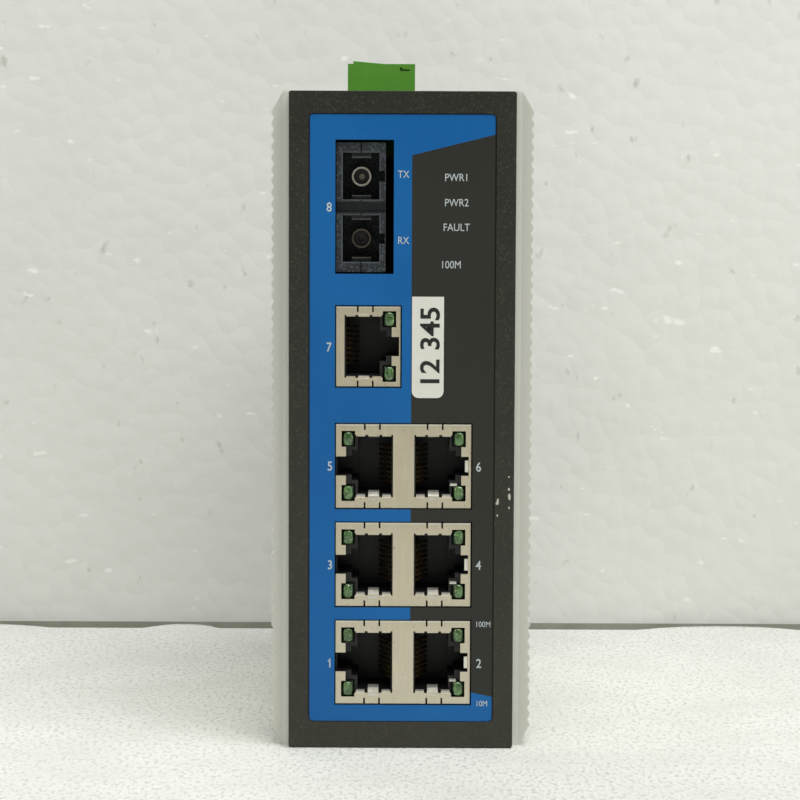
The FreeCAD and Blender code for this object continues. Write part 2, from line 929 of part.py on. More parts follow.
def add_lips(body, port):
    """Earthing lips folded back from the opening's lower and upper edges: two narrow, one wide."""
    middle_start = "lip_start + side_lip_width + lip_gap"
    last_start = middle_start + " + middle_lip_width + lip_gap"
    lips = sketch_on(body, "XZ_Plane")
    for low, high in (
        ("-port_span / 2", "-port_span / 2 + jack_sheet"),
        ("port_span / 2 - jack_sheet", "port_span / 2"),
    ):
        rectangle(lips, *port.box("lip_start", "lip_start + side_lip_width", low, high))
        rectangle(lips, *port.box(middle_start, middle_start + " + middle_lip_width", low, high))
        rectangle(lips, *port.box(last_start, last_start + " + side_lip_width", low, high))
    pad(body, lips, "lip_length")


def add_slits(body, port, half):
    """Slits either side of the spring finger in the shield's lower and upper walls."""
    for side in (-1, 1):
        slits = sketch_on(body, "XZ_Plane")
        edges = [f"{side} * ({half} - slit_length)", f"{side} * ({half})"]
        if side < 0:
            edges.reverse()
        for middle in ("finger_offset - finger_width / 2", "finger_offset + finger_width / 2"):
            near = middle + " - slit_width / 2"
            far = middle + " + slit_width / 2"
            rectangle(slits, *port.box(near, far, *edges))
        pocket(body, slits, "slit_depth")


def make_insert(jack):
    """The moulded insert: stepped sockets for the plugs and pockets for the lamps."""
    body = new_body(jack.label + "_insert")
    half = f"({jack.height} / 2 - jack_sheet - insert_gap)"
    moulding = sketch_on(body, "XZ_Plane", "insert_setback")
    rectangle(moulding, jack.left, jack.right + " - jack_sheet - insert_gap", "-" + half, half)
    pad(body, moulding, f"{jack.depth} - insert_setback - jack_sheet - insert_gap")
    for port in jack.ports:
        socket = sketch_on(body, "XZ_Plane", "insert_setback")
        cavity = port.box("cavity_start", "cavity_end", "-cavity_span / 2", "cavity_span / 2")
        rectangle(socket, *cavity)
        pocket(body, socket, "cavity_depth - insert_setback")
        step = sketch_on(body, "XZ_Plane", "insert_setback")
        rectangle(step, *port.box("cavity_end - cutter_reach", "step_end", "-step_span / 2", "step_span / 2"))
        pocket(body, step, "cavity_depth - insert_setback - step_end_wall")
        key = sketch_on(body, "XZ_Plane", "insert_setback")
        reach = "port_reach + key_reach"
        if port.direction < 0:
            reach += " + left_key_overrun"
        rectangle(key, *port.box("step_end - cutter_reach", reach, "-key_span / 2", "key_span / 2"))
        pocket(body, key, "cavity_depth - insert_setback - step_end_wall")
        lamps = sketch_on(body, "XZ_Plane", "insert_setback")
        for middle in lamp_centres():
            window = port.box(
                "lens_offset",
                "lens_offset + lens_window",
                middle + " - lens_span / 2",
                middle + " + lens_span / 2",
            )
            rectangle(lamps, *window)
        pocket(body, lamps, "lens_length - insert_setback")
    return body


def make_lens(jack, port, middle):
    """One lamp: a block with a rounded front, loose in its pocket by the lens gap."""
    body = new_body("lens")
    outline_of_lens = sketch_on(body, "XZ_Plane", "jack_sheet")
    window = port.box(
        "lens_offset + lens_gap",
        "lens_offset + lens_window - lens_gap",
        f"{middle} - lens_span / 2 + lens_gap",
        f"{middle} + lens_span / 2 - lens_gap",
    )
    rectangle(outline_of_lens, *window)
    pad(body, outline_of_lens, "lens_length - jack_sheet")
    doc.recompute()
    face_y = sheet.get("jack_sheet")
    rim = [
        f"Edge{number}"
        for number, edge in enumerate(body.Shape.Edges, start=1)
        if abs(edge.CenterOfMass.y - face_y) < 1e-6
    ]
    round_edges(body, "Fillet", "lens_window / 4", rim)
    seat_jack(body, jack)
    return body


def make_contact(jack, port, number):
    """One spring contact: rooted on the web wall, folded back into the socket."""
    body = new_body("contact")
    middle = f"({number} - (contact_count - 1) / 2) * contact_pitch"
    profile = sketch_on(body, "XY_Plane", middle + " - contact_width / 2")
    wall = "cavity_start"
    tip = "cavity_start + contact_rise"
    root = "insert_setback + contact_root"
    outline(profile, [
        (port.at(wall), root),
        (port.at(wall + " + contact_wire"), root + " - contact_slope"),
        (port.at(tip), "cavity_depth - contact_end"),
        (port.at(tip + " - contact_wire"), "cavity_depth - contact_end + contact_cut"),
        (port.at(wall + " + contact_wire"), root + " + contact_bend"),
        (port.at(wall + " + contact_wire"), "cavity_depth"),
        (port.at(wall), "cavity_depth"),
    ])
    pad(body, profile, "contact_width")
    seat_jack(body, jack)
    return body


# Main board: upright beside the left panel, its parts on the face towards the right


def board_hole_places():
    """Depth and height of the four stand-offs, clear of the jacks and the chassis flanges."""
    near = "board_y + board_hole_front"
    far = "board_y + board_length - board_hole_back"
    low = "board_bottom + board_hole_low"
    between_ports = "single_jack_z + board_hole_above_jack"
    high = "board_top - board_hole_high"
    return [(near, low), (near, between_ports), (far, low), (far, high)]


def make_board():
    body = new_body("main_board")
    plate = sketch_on(body, "YZ_Plane", "board_back_x")
    rectangle(plate, "board_y", "board_y + board_length", "board_bottom", "board_top")
    pad(body, plate, "board_thickness")
    holes = sketch_on(body, "YZ_Plane", "board_back_x")
    for depth, height in board_hole_places():
        circle(holes, depth, height, "screw_hole + board_hole_ease")
    pocket(body, holes, "board_thickness")
    return body


def make_standoff(number, depth, height):
    """A hexagonal stand-off between the left panel and the board."""
    body = new_body(f"standoff_{number}")
    section = sketch_on(body, "YZ_Plane", "-bezel_width / 2")
    corners = []
    for corner in range(6):
        turn = math.radians(60 * corner)
        reach = f"standoff_flats / {math.sqrt(3):.6f}"
        corners.append((
            f"{depth} + {math.cos(turn):.6f} * {reach}",
            f"{height} + {math.sin(turn):.6f} * {reach}",
        ))
    outline(section, corners)
    pad(body, section, "board_back_x + bezel_width / 2")
    hole = sketch_on(body, "YZ_Plane", "board_back_x")
    circle(hole, depth, height, "screw_hole")
    pocket(body, hole, "screw_length - board_thickness + standoff_hole_room", towards_plus=False)
    return body


OPPOSITE = {"+X": "-X", "-X": "+X", "+Y": "-Y", "-Y": "+Y", "+Z": "-Z", "-Z": "+Z"}


def pan_screw(name, seat, along, shank="screw_shank", length="screw_length", head="screw_head",
              head_height="screw_head_height"):
    """A slotted pan-head screw; seat is the middle of its head's underside."""
    x, y, z = seat
    stem = rod(name + "_stem", x, y, z, shank, length, along)
    cap = rod(name + "_cap", x, y, z, head, head_height, OPPOSITE[along])
    whole = fused(name + "_whole", [stem, cap])
    back = "-" if along[0] == "+" else "+"
    start = f"{back} ({head_height} - driver_depth)" + (f" - {head}" if along[0] == "+" else "")
    across = f"- {head}"
    slit = "- driver_slot / 2"
    if along[1] == "X":
        low = (f"{x} {start}", f"{y} {across}", f"{z} {slit}")
        sizes = (head, f"2 * {head}", "driver_slot")
    elif along[1] == "Y":
        low = (f"{x} {across}", f"{y} {start}", f"{z} {slit}")
        sizes = (f"2 * {head}", head, "driver_slot")
    else:
        low = (f"{x} {across}", f"{y} {slit}", f"{z} {start}")
        sizes = (f"2 * {head}", "driver_slot", head)
    return cut(name, whole, block(name + "_driver", *low, *sizes))


for jack in JACKS:
    shield = make_shield(jack)
    seat_jack(shield, jack)
    node(shield)
    insert = make_insert(jack)
    seat_jack(insert, jack)
    node(insert)

lenses = []
contacts = []
for jack in JACKS:
    for port in jack.ports:
        for middle in lamp_centres():
            lenses.append(make_lens(jack, port, middle))
        for number in range(round(sheet.get("contact_count"))):
            contacts.append(make_contact(jack, port, number))
node(group("port_lights", lenses))
node(group("port_contacts", contacts))

node(make_board())
standoffs = []
board_screws = []
for number, (depth, height) in enumerate(board_hole_places(), start=1):
    standoffs.append(make_standoff(number, depth, height))
    seat = ("board_face_x", depth, height)
    board_screws.append(pan_screw(f"board_screw_{number}", seat, "-X"))
node(group("board_standoffs", standoffs))
node(group("board_screws", board_screws))


# Fibre transceiver: a duplex receptacle with two keyed sockets, two sleeves and its module


def make_receptacle():
    body = new_body("fibre_receptacle")
    right = "fibre_left + fibre_thickness"
    moulding = sketch_on(body, "XZ_Plane")
    rectangle(moulding, "fibre_left", right, "-fibre_span / 2", "fibre_span / 2")
    pad(body, moulding, "fibre_depth")
    doc.recompute()
    corners = edges_along(body.Shape, Vector(0, 1, 0), lambda middle: True)
    round_edges(body, "Fillet", "socket_bevel", corners)
    near = "fibre_centre_x - socket_thickness / 2"
    far = "fibre_centre_x + socket_thickness / 2"
    sockets = sketch_on(body, "XZ_Plane")
    keys = sketch_on(body, "XZ_Plane")
    mouths = sketch_on(body, "XZ_Plane")
    hooks = sketch_on(body, "XZ_Plane", "hook_setback")
    for side in (-1, 1):
        middle = f"{side} * fibre_pitch / 2"
        low = middle + " - socket_span / 2"
        high = middle + " + socket_span / 2"
        rectangle(sockets, near, far, low, high)
        rectangle(
            keys,
            far + " - socket_key_reach",
            far + " + socket_key_reach",
            middle + " - socket_key_span / 2",
            middle + " + socket_key_span / 2",
        )
        rectangle(
            mouths,
            near + " - socket_bevel",
            far + " + socket_bevel",
            low + " - socket_bevel",
            high + " + socket_bevel",
        )
        for start, end in (
            (low + " - hook_root", low + " + hook_height"),
            (high + " - hook_height", high + " + hook_root"),
        ):
            rectangle(
                hooks, "fibre_centre_x - hook_width / 2", "fibre_centre_x + hook_width / 2", start, end
            )
    pocket(body, sockets, "socket_depth")
    pocket(body, keys, "socket_depth")
    pocket(body, mouths, "socket_bevel")
    pad(body, hooks, "hook_depth")
    web = sketch_on(body, "XZ_Plane")
    rectangle(
        web,
        "fibre_left - socket_bevel",
        right + " + socket_bevel",
        "-web_groove_span / 2",
        "web_groove_span / 2",
    )
    pocket(body, web, "web_groove_depth")
    split = sketch_on(body, "XZ_Plane")
    for low, high in (
        ("-fibre_span / 2 - socket_bevel", "-(fibre_pitch + socket_span) / 2"),
        ("(socket_span - fibre_pitch) / 2", "(fibre_pitch - socket_span) / 2"),
        ("(fibre_pitch + socket_span) / 2", "fibre_span / 2 + socket_bevel"),
    ):
        rectangle(split, "fibre_centre_x - split_width / 2", "fibre_centre_x + split_width / 2", low, high)
    pocket(body, split, "split_depth")
    place(body, "0", "fibre_face", "fibre_z")
    return body


def make_tube(name, side, start, diameter, bore, length, bore_depth):
    """A tube on a socket's axis, open towards the front."""
    middle = f"fibre_z + {side} * fibre_pitch / 2"
    tube = rod(name + "_outside", "fibre_centre_x", start, middle, diameter, length, "+Y")
    hollow = rod(name + "_bore", "fibre_centre_x", start, middle, bore, bore_depth, "+Y")
    return cut(name, tube, hollow)


def make_sleeve(side):
    """An alignment sleeve that stands on the socket's end wall."""
    start = "fibre_face + socket_depth - sleeve_length"
    return make_tube(
        f"sleeve_{side + 2}",
        side,
        start,
        "sleeve_diameter",
        "sleeve_bore",
        "sleeve_length",
        "sleeve_length - sleeve_floor",
    )


def make_guide(side):
    """The guide for the fibre's ferrule, which stands inside a sleeve on its floor."""
    start = "fibre_face + socket_depth - sleeve_length + guide_setback"
    length = "sleeve_length - guide_setback - sleeve_floor"
    return make_tube(f"guide_{side + 2}", side, start, "guide_diameter", "guide_bore", length, length)


node(make_receptacle())
node(group("fibre_guides", [make_guide(-1), make_guide(1)]))
node(group("fibre_sleeves", [make_sleeve(-1), make_sleeve(1)]))
node(block(
    "fibre_module",
    "fibre_left",
    "fibre_face + fibre_depth",
    "fibre_z - fibre_span / 2 + fibre_module_inset",
    "fibre_thickness - fibre_module_inset",
    "fibre_module_depth",
    "fibre_span - 2 * fibre_module_inset",
))


# Terminal header on the board and the plug that pulls off it


def make_header():
    body = new_body("terminal_header")
    right = "nose_left + nose_width + header_gap + header_wall"
    shroud = sketch_on(body, "XY_Plane", "nose_base - header_gap - header_floor")
    rectangle(shroud, "header_left", right, "plug_y", "plug_y + plug_length")
    pad(body, shroud, "nose_length + header_floor")
    well = sketch_on(body, "XY_Plane", "header_top")
    rectangle(
        well,
        "nose_left - header_gap",
        "nose_left + nose_width + header_gap",
        "plug_y + header_wall",
        "plug_y + plug_length - header_wall",
    )
    pocket(body, well, "nose_length", towards_plus=False)
    return body


def make_plug():
    body = new_body("terminal_plug")
    nose = sketch_on(body, "XY_Plane", "nose_base")
    rectangle(
        nose,
        "nose_left",
        "nose_left + nose_width",
        "plug_y + header_wall + header_gap",
        "plug_y + plug_length - header_wall - header_gap",
    )
    pad(body, nose, "nose_length + cutter_reach")
    head = sketch_on(body, "XZ_Plane", "plug_y")
    right = "plug_left + plug_width"
    shoulder = "plug_top - plug_ridge"
    outline(head, [
        ("plug_left", "plug_base"),
        (right, "plug_base"),
        (right, shoulder),
        ("plug_left + plug_ridge_end", shoulder),
        ("plug_left + plug_ridge_start", "plug_top"),
        ("plug_left + plug_ridge_start", shoulder),
        ("plug_left", shoulder),
    ])
    pad(body, head, "plug_length")
    notch = sketch_on(body, "XZ_Plane", "plug_y")
    notch_right = right + " - notch_from_side"
    notch_top = shoulder + " - notch_drop"
    outline(notch, [
        (notch_right + " - notch_width", notch_top + " - notch_height"),
        (notch_right, notch_top + " - notch_height"),
        (notch_right, notch_top + " - notch_height / 2"),
        (notch_right + " - notch_width + notch_step", notch_top + " - notch_height / 2"),
        (notch_right + " - notch_width + notch_step", notch_top),
        (notch_right + " - notch_width", notch_top),
    ])
    pocket(body, notch, "notch_depth")
    row_length = "(pole_count - 1) * pole_pitch"
    chamber = sketch_on(body, "XZ_Plane", "first_pole_y - clamp_side / 2 - terminal_gap")
    rectangle(
        chamber,
        "clamp_x - clamp_length / 2 - clamp_travel - terminal_gap",
        "clamp_x + clamp_length / 2 + terminal_gap",
        "terminal_z - clamp_height / 2 - terminal_gap",
        "terminal_z + clamp_height / 2 + terminal_gap",
    )
    repeat(body, pocket(body, chamber, "clamp_side + 2 * terminal_gap"), "Y_Axis", row_length, "pole_count")
    entry = sketch_on(body, "XY_Plane", "plug_top")
    rectangle(
        entry,
        "clamp_x - entry_width / 2",
        "clamp_x + entry_width / 2",
        "first_pole_y - entry_height / 2",
        "first_pole_y + entry_height / 2",
    )
    entry_depth = "terminal_screw_drop - clamp_height / 2"
    repeat(body, pocket(body, entry, entry_depth, towards_plus=False), "Y_Axis", row_length, "pole_count")
    head_hole = sketch_on(body, "YZ_Plane", "plug_left")
    circle(head_hole, "first_pole_y", "terminal_z", "terminal_head + 2 * terminal_gap")
    head_depth = "terminal_recess + terminal_head_height + terminal_gap"
    repeat(body, pocket(body, head_hole, head_depth), "Y_Axis", row_length, "pole_count")
    stem_hole = sketch_on(body, "YZ_Plane", "plug_left")
    circle(stem_hole, "first_pole_y", "terminal_z", "terminal_screw + 2 * terminal_gap")
    first_stem = pocket(body, stem_hole, "clamp_from_side - clamp_length / 2")
    repeat(body, first_stem, "Y_Axis", row_length, "pole_count")
    receptor = sketch_on(body, "XY_Plane", "nose_base")
    rectangle(
        receptor,
        "pin_x - pin_room / 2",
        "pin_x + pin_room / 2",
        "first_pole_y - pin_room / 2",
        "first_pole_y + pin_room / 2",
    )
    repeat(body, pocket(body, receptor, "pin_length + pin_end_room"), "Y_Axis", row_length, "pole_count")
    return body


def pole_y(number):
    """Depth of one pole of the plug, counted from the front."""
    return f"(first_pole_y + {number} * pole_pitch)"


def make_clamp(number):
    """A clamp cage: a short square tube that the wire passes down and the screw draws in."""
    name = f"wire_clamp_{number + 1}"
    low_x = "clamp_x - clamp_length / 2"
    low_y = f"{pole_y(number)} - clamp_side / 2"
    low_z = "terminal_z - clamp_height / 2"
    whole = block(name + "_block", low_x, low_y, low_z, "clamp_length", "clamp_side", "clamp_height")
    way = block(
        name + "_way",
        low_x + " + clamp_wall",
        low_y + " + clamp_wall",
        low_z + " - cutter_reach",
        "clamp_length - 2 * clamp_wall",
        "clamp_side - 2 * clamp_wall",
        "clamp_height + 2 * cutter_reach",
    )
    hole = rod(
        name + "_hole",
        low_x + " - cutter_reach",
        pole_y(number),
        "terminal_z",
        "terminal_screw + clamp_bore_ease",
        "2 * cutter_reach",
        "+X",
    )
    tool = fused(name + "_tool", [way, hole])
    return cut(name, whole, tool)


def make_pin(number):
    """A header pin: a square post up from the header's floor, into the plug's nose."""
    return block(
        f"terminal_pin_{number + 1}",
        "pin_x - pin_side / 2",
        f"{pole_y(number)} - pin_side / 2",
        "nose_base - header_gap",
        "pin_side",
        "pin_side",
        "pin_length",
    )


node(make_header())
POLES = range(round(sheet.get("pole_count")))
LEVERS = range(round(sheet.get("switch_count")))
node(group("terminal_pins", [make_pin(number) for number in POLES]))
node(make_plug())
for number in POLES:
    seat = ("plug_left + terminal_recess + terminal_head_height", pole_y(number), "terminal_z")
    node(pan_screw(
        f"terminal_screw_{number + 1}",
        seat,
        "+X",
        "terminal_screw",
        "terminal_screw_length",
        "terminal_head",
        "terminal_head_height",
    ))
for number in POLES:
    node(make_clamp(number))


# Alarm switches: a moulded bank of eight small slide levers below a window in the top


def make_switch_bank():
    body = new_body("alarm_switch_body")
    bank = sketch_on(body, "XY_Plane", "switch_top - switch_height")
    rectangle(bank, "switch_left", "switch_left + switch_width", "switch_y", "switch_y + switch_length")
    pad(body, bank, "switch_height")
    slot = sketch_on(body, "XY_Plane", "switch_top")
    rectangle(
        slot,
        "lever_x - lever_slot / 2",
        "lever_x + lever_slot / 2",
        "first_lever_y - lever_slot_width / 2",
        "first_lever_y + lever_slot_width / 2",
    )
    first_slot = pocket(body, slot, "lever_slot_depth", towards_plus=False)
    repeat(body, first_slot, "Y_Axis", "(switch_count - 1) * switch_pitch", "switch_count")
    return body


node(make_switch_bank())
for number in LEVERS:
    node(block(
        f"alarm_lever_{number + 1}",
        "lever_x - lever_travel / 2 - lever_length / 2",
        f"first_lever_y + {number} * switch_pitch - lever_width / 2",
        "switch_top - lever_slot_depth + terminal_gap",
        "lever_length",
        "lever_width",
        "lever_height",
    ))


# Fasteners of the case


panel_screws = []
for side in (-1, 1):
    for number, (depth, height) in enumerate(screw_places(), start=1):
        seat_x = f"{side} * (case_width / 2 - panel_screw_flat - screw_head_height)"
        along = "-X" if side > 0 else "+X"
        name = f"panel_screw_{'left' if side < 0 else 'right'}_{number}"
        panel_screws.append(pan_screw(name, (seat_x, depth, height), along, length="panel_screw_length"))
node(group("panel_screws", panel_screws))

earth_seat = ("earth_x", "front + earth_y", "case_height")
node(pan_screw(
    "earth_screw", earth_seat, "-Z", "earth_shank", "earth_length", "earth_head", "earth_head_height"
))


# Rail plate: an aluminium section with a fixed lower hook and a sprung upper slot


def make_rail_plate():
    body = new_body("rail_plate")
    section = sketch_on(body, "YZ_Plane", "-rail_plate_width / 2")
    face = "back + rail_plate_sheet"
    slot = "back + rail_plate_sheet + rail_slot"
    rim = "back + rail_plate_depth"
    outline(section, [
        ("back", "plate_low"),
        (face, "plate_low"),
        (face, "rail_low - rail_block"),
        (rim, "rail_low - rail_block"),
        (rim, "rail_low + rail_lower_lip"),
        (slot, "rail_low + rail_lower_lip"),
        (slot, "rail_low"),
        (face, "rail_low"),
        (face, "rail_high + spring_room"),
        (slot, "rail_high + spring_room"),
        (slot, "rail_high - rail_upper_lip"),
        (rim, "rail_high - rail_upper_lip"),
        (rim, "rail_high + spring_room + rail_block"),
        (face, "rail_high + spring_room + rail_block"),
        (face, "plate_high"),
        ("back", "plate_high"),
    ])
    pad(body, section, "rail_plate_width")
    doc.recompute()
    rim_y = sheet.get("back") + sheet.get("rail_plate_depth")
    outer = edges_along(body.Shape, Vector(1, 0, 0), lambda middle: abs(middle.y - rim_y) < 1e-6)
    round_edges(body, "Fillet", "rail_lip_round", outer)
    doc.recompute()
    half = sheet.get("rail_plate_width") / 2
    back_y = sheet.get("back")
    plate_y = back_y + sheet.get("rail_plate_sheet")
    low_z = sheet.get("plate_low") + sheet.get("cutter_reach")
    high_z = sheet.get("plate_high") - sheet.get("cutter_reach")
    corners = edges_along(
        body.Shape,
        Vector(0, 1, 0),
        lambda middle: abs(abs(middle.x) - half) < 1e-6 and middle.y < plate_y
        and (middle.z < low_z or middle.z > high_z),
    )
    round_edges(body, "Fillet", "plate_corner", corners)
    holes = sketch_on(body, "XZ_Plane", "back")
    for across, up in plate_screw_places():
        circle(holes, across, up, "screw_hole + hole_ease")
    pocket(body, holes, "rail_plate_sheet")
    return body


def make_rail_spring():
    """The bowed wire in the upper slot that presses the rail's top edge."""
    body = new_body("rail_spring")
    wire_y = "back + rail_plate_sheet + rail_slot / 2"
    end_z = "rail_high + spring_room - spring_wire / 2 - spring_end_gap"
    path = sketch_on(body, "XZ_Plane", wire_y)
    half = sheet.get("spring_span") / 2
    bow = sheet.get("spring_bow")
    high = sheet.get("rail_high") + sheet.get("spring_room")
    arc = Part.Arc(Vector(-half, high, 0), Vector(0, high - bow, 0), Vector(half, high, 0))
    path.addGeometry(arc)
    curve = path.Geometry[0]
    left_end = 1 if curve.StartPoint.x < 0 else 2
    fix_point(path, 0, left_end, "-spring_span / 2", end_z, Vector(-half, high, 0))
    fix_point(path, 0, 3 - left_end, "spring_span / 2", end_z, Vector(half, high, 0))
    index = path.addConstraint(Sketcher.Constraint("Radius", 0, curve.Radius))
    radius = "(spring_span * spring_span / 4 + spring_bow * spring_bow) / (2 * spring_bow)"
    path.setExpression(f"Constraints[{index}]", in_sheet(radius))
    wire = sketch_on(body, "YZ_Plane", "-spring_span / 2")
    circle(wire, wire_y, end_z, "spring_wire")
    pipe = body.newObject("PartDesign::AdditivePipe", "rail_spring_pipe")
    pipe.Profile = wire
    pipe.Spine = path
    body.Tip = pipe
    return body


node(make_rail_plate())
node(make_rail_spring())
plate_screws = []
for number, (across, up) in enumerate(plate_screw_places(), start=1):
    seat = (across, "back + rail_plate_sheet", up)
    plate_screws.append(pan_screw(f"plate_screw_{number}", seat, "-Y"))
node(group("rail_plate_screws", plate_screws))


# Parts on the board, and the lamp unit behind the overlay


def on_board(name, y, z, stand, length, height):
    """A block that stands out from the board's face."""
    return block(name, "board_face_x", y, z, stand, length, height)


node(on_board("switch_chip", "front + chip_from_front", "chip_z", "chip_height", "chip_side", "chip_side"))
magnetics = [
    on_board(
        f"magnetics_{row + 1}",
        "front + magnetics_from_front",
        f"{row_z(row)} - magnetics_length / 2",
        "magnetics_height",
        "magnetics_width",
        "magnetics_length",
    )
    for row in DOUBLE_ROWS
]
node(group("signal_transformers", magnetics))
node(on_board(
    "fault_relay", "front + relay_from_front", "relay_z", "relay_height", "relay_length", "relay_width"
))
capacitors = [
    rod(
        f"capacitor_{number + 1}",
        "board_face_x",
        f"front + capacitor_from_front + {number} * capacitor_pitch",
        "capacitor_z",
        "capacitor_diameter",
        "capacitor_height",
        "+X",
    )
    for number in range(2)
]
node(group("power_capacitors", capacitors))


def make_status_lights():
    bar = block(
        "lamp_bar",
        "lamp_x - lamp_bar_width / 2",
        "front + bezel_wall",
        "lamp_top_z - lamp_run * lamp_pitch - lamp_bar_end",
        "lamp_bar_width",
        "lamp_bar_depth",
        "lamp_run * lamp_pitch + 2 * lamp_bar_end",
    )
    rods = [
        rod(
            f"lamp_rod_{number + 1}",
            "lamp_x",
            "front + overlay_recess",
            f"lamp_top_z - {drop}",
            "lamp_guide",
            "bezel_wall + lamp_root",
            "+Y",
        )
        for number, drop in enumerate(LAMP_DROPS)
    ]
    return fused("status_lights", [bar] + rods)


node(make_status_lights())


# Check every object, then write one file for each node


doc.recompute()
for thing in doc.Objects:
    if "Invalid" in thing.State or "Error" in thing.State:
        raise RuntimeError(f"{thing.Label} did not build: {thing.State}")
labels = [thing.Label for thing in NODES]
if len(set(labels)) != len(labels):
    raise RuntimeError("two nodes share a label")
os.makedirs("parts", exist_ok=True)
for thing in NODES:
    shape = thing.Shape
    if shape.isNull() or not shape.isValid():
        raise RuntimeError(f"{thing.Label} has no sound shape")
    shape.exportStep(f"parts/{thing.Label}.step")
print(f"{len(NODES)} nodes written")
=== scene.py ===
"""Looks of the eight-port Ethernet switch: finishes for every CAD piece, the printed numerals,
and the small things that the CAD model leaves out. Metres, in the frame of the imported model."""
import bpy
import bmesh
import json
import math
from mathutils import Matrix, Vector


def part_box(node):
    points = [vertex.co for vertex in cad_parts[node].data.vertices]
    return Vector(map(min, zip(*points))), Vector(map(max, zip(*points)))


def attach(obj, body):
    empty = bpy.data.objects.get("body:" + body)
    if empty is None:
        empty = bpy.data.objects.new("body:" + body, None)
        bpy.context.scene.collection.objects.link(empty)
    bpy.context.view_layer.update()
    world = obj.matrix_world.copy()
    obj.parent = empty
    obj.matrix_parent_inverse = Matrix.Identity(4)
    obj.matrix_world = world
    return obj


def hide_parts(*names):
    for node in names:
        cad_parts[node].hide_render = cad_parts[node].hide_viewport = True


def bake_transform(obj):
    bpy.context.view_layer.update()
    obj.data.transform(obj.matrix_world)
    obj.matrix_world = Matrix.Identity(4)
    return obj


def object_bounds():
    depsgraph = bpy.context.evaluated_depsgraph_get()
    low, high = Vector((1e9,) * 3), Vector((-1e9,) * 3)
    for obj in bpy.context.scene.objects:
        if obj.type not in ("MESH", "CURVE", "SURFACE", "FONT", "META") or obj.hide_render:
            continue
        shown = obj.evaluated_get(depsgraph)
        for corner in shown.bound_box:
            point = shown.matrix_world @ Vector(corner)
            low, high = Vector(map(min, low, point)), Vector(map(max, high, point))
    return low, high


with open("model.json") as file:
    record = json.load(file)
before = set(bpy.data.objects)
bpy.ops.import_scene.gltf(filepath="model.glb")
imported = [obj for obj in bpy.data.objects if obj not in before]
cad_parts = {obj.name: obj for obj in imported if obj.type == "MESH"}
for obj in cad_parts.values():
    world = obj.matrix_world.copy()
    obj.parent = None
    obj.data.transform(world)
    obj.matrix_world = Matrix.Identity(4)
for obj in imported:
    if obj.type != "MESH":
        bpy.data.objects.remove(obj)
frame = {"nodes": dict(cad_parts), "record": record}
cad_low, cad_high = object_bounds()
NODES = frame["nodes"]
MM = 0.001


# Case: front bezel and folded chassis
# Steel sheet with a fine sand-textured dark olive-grey paint. The bezel hooks into the chassis,
# and both are held by the screws of the side panels. The paint is chipped at the right edge.

def srgb(red, green, blue):
    """A linear colour from 0 to 255 display values."""
    channels = []
    for value in (red, green, blue):
        share = value / 255
        channels.append(share / 12.92 if share <= 0.04045 else ((share + 0.055) / 1.055) ** 2.4)
    return (*channels, 1.0)


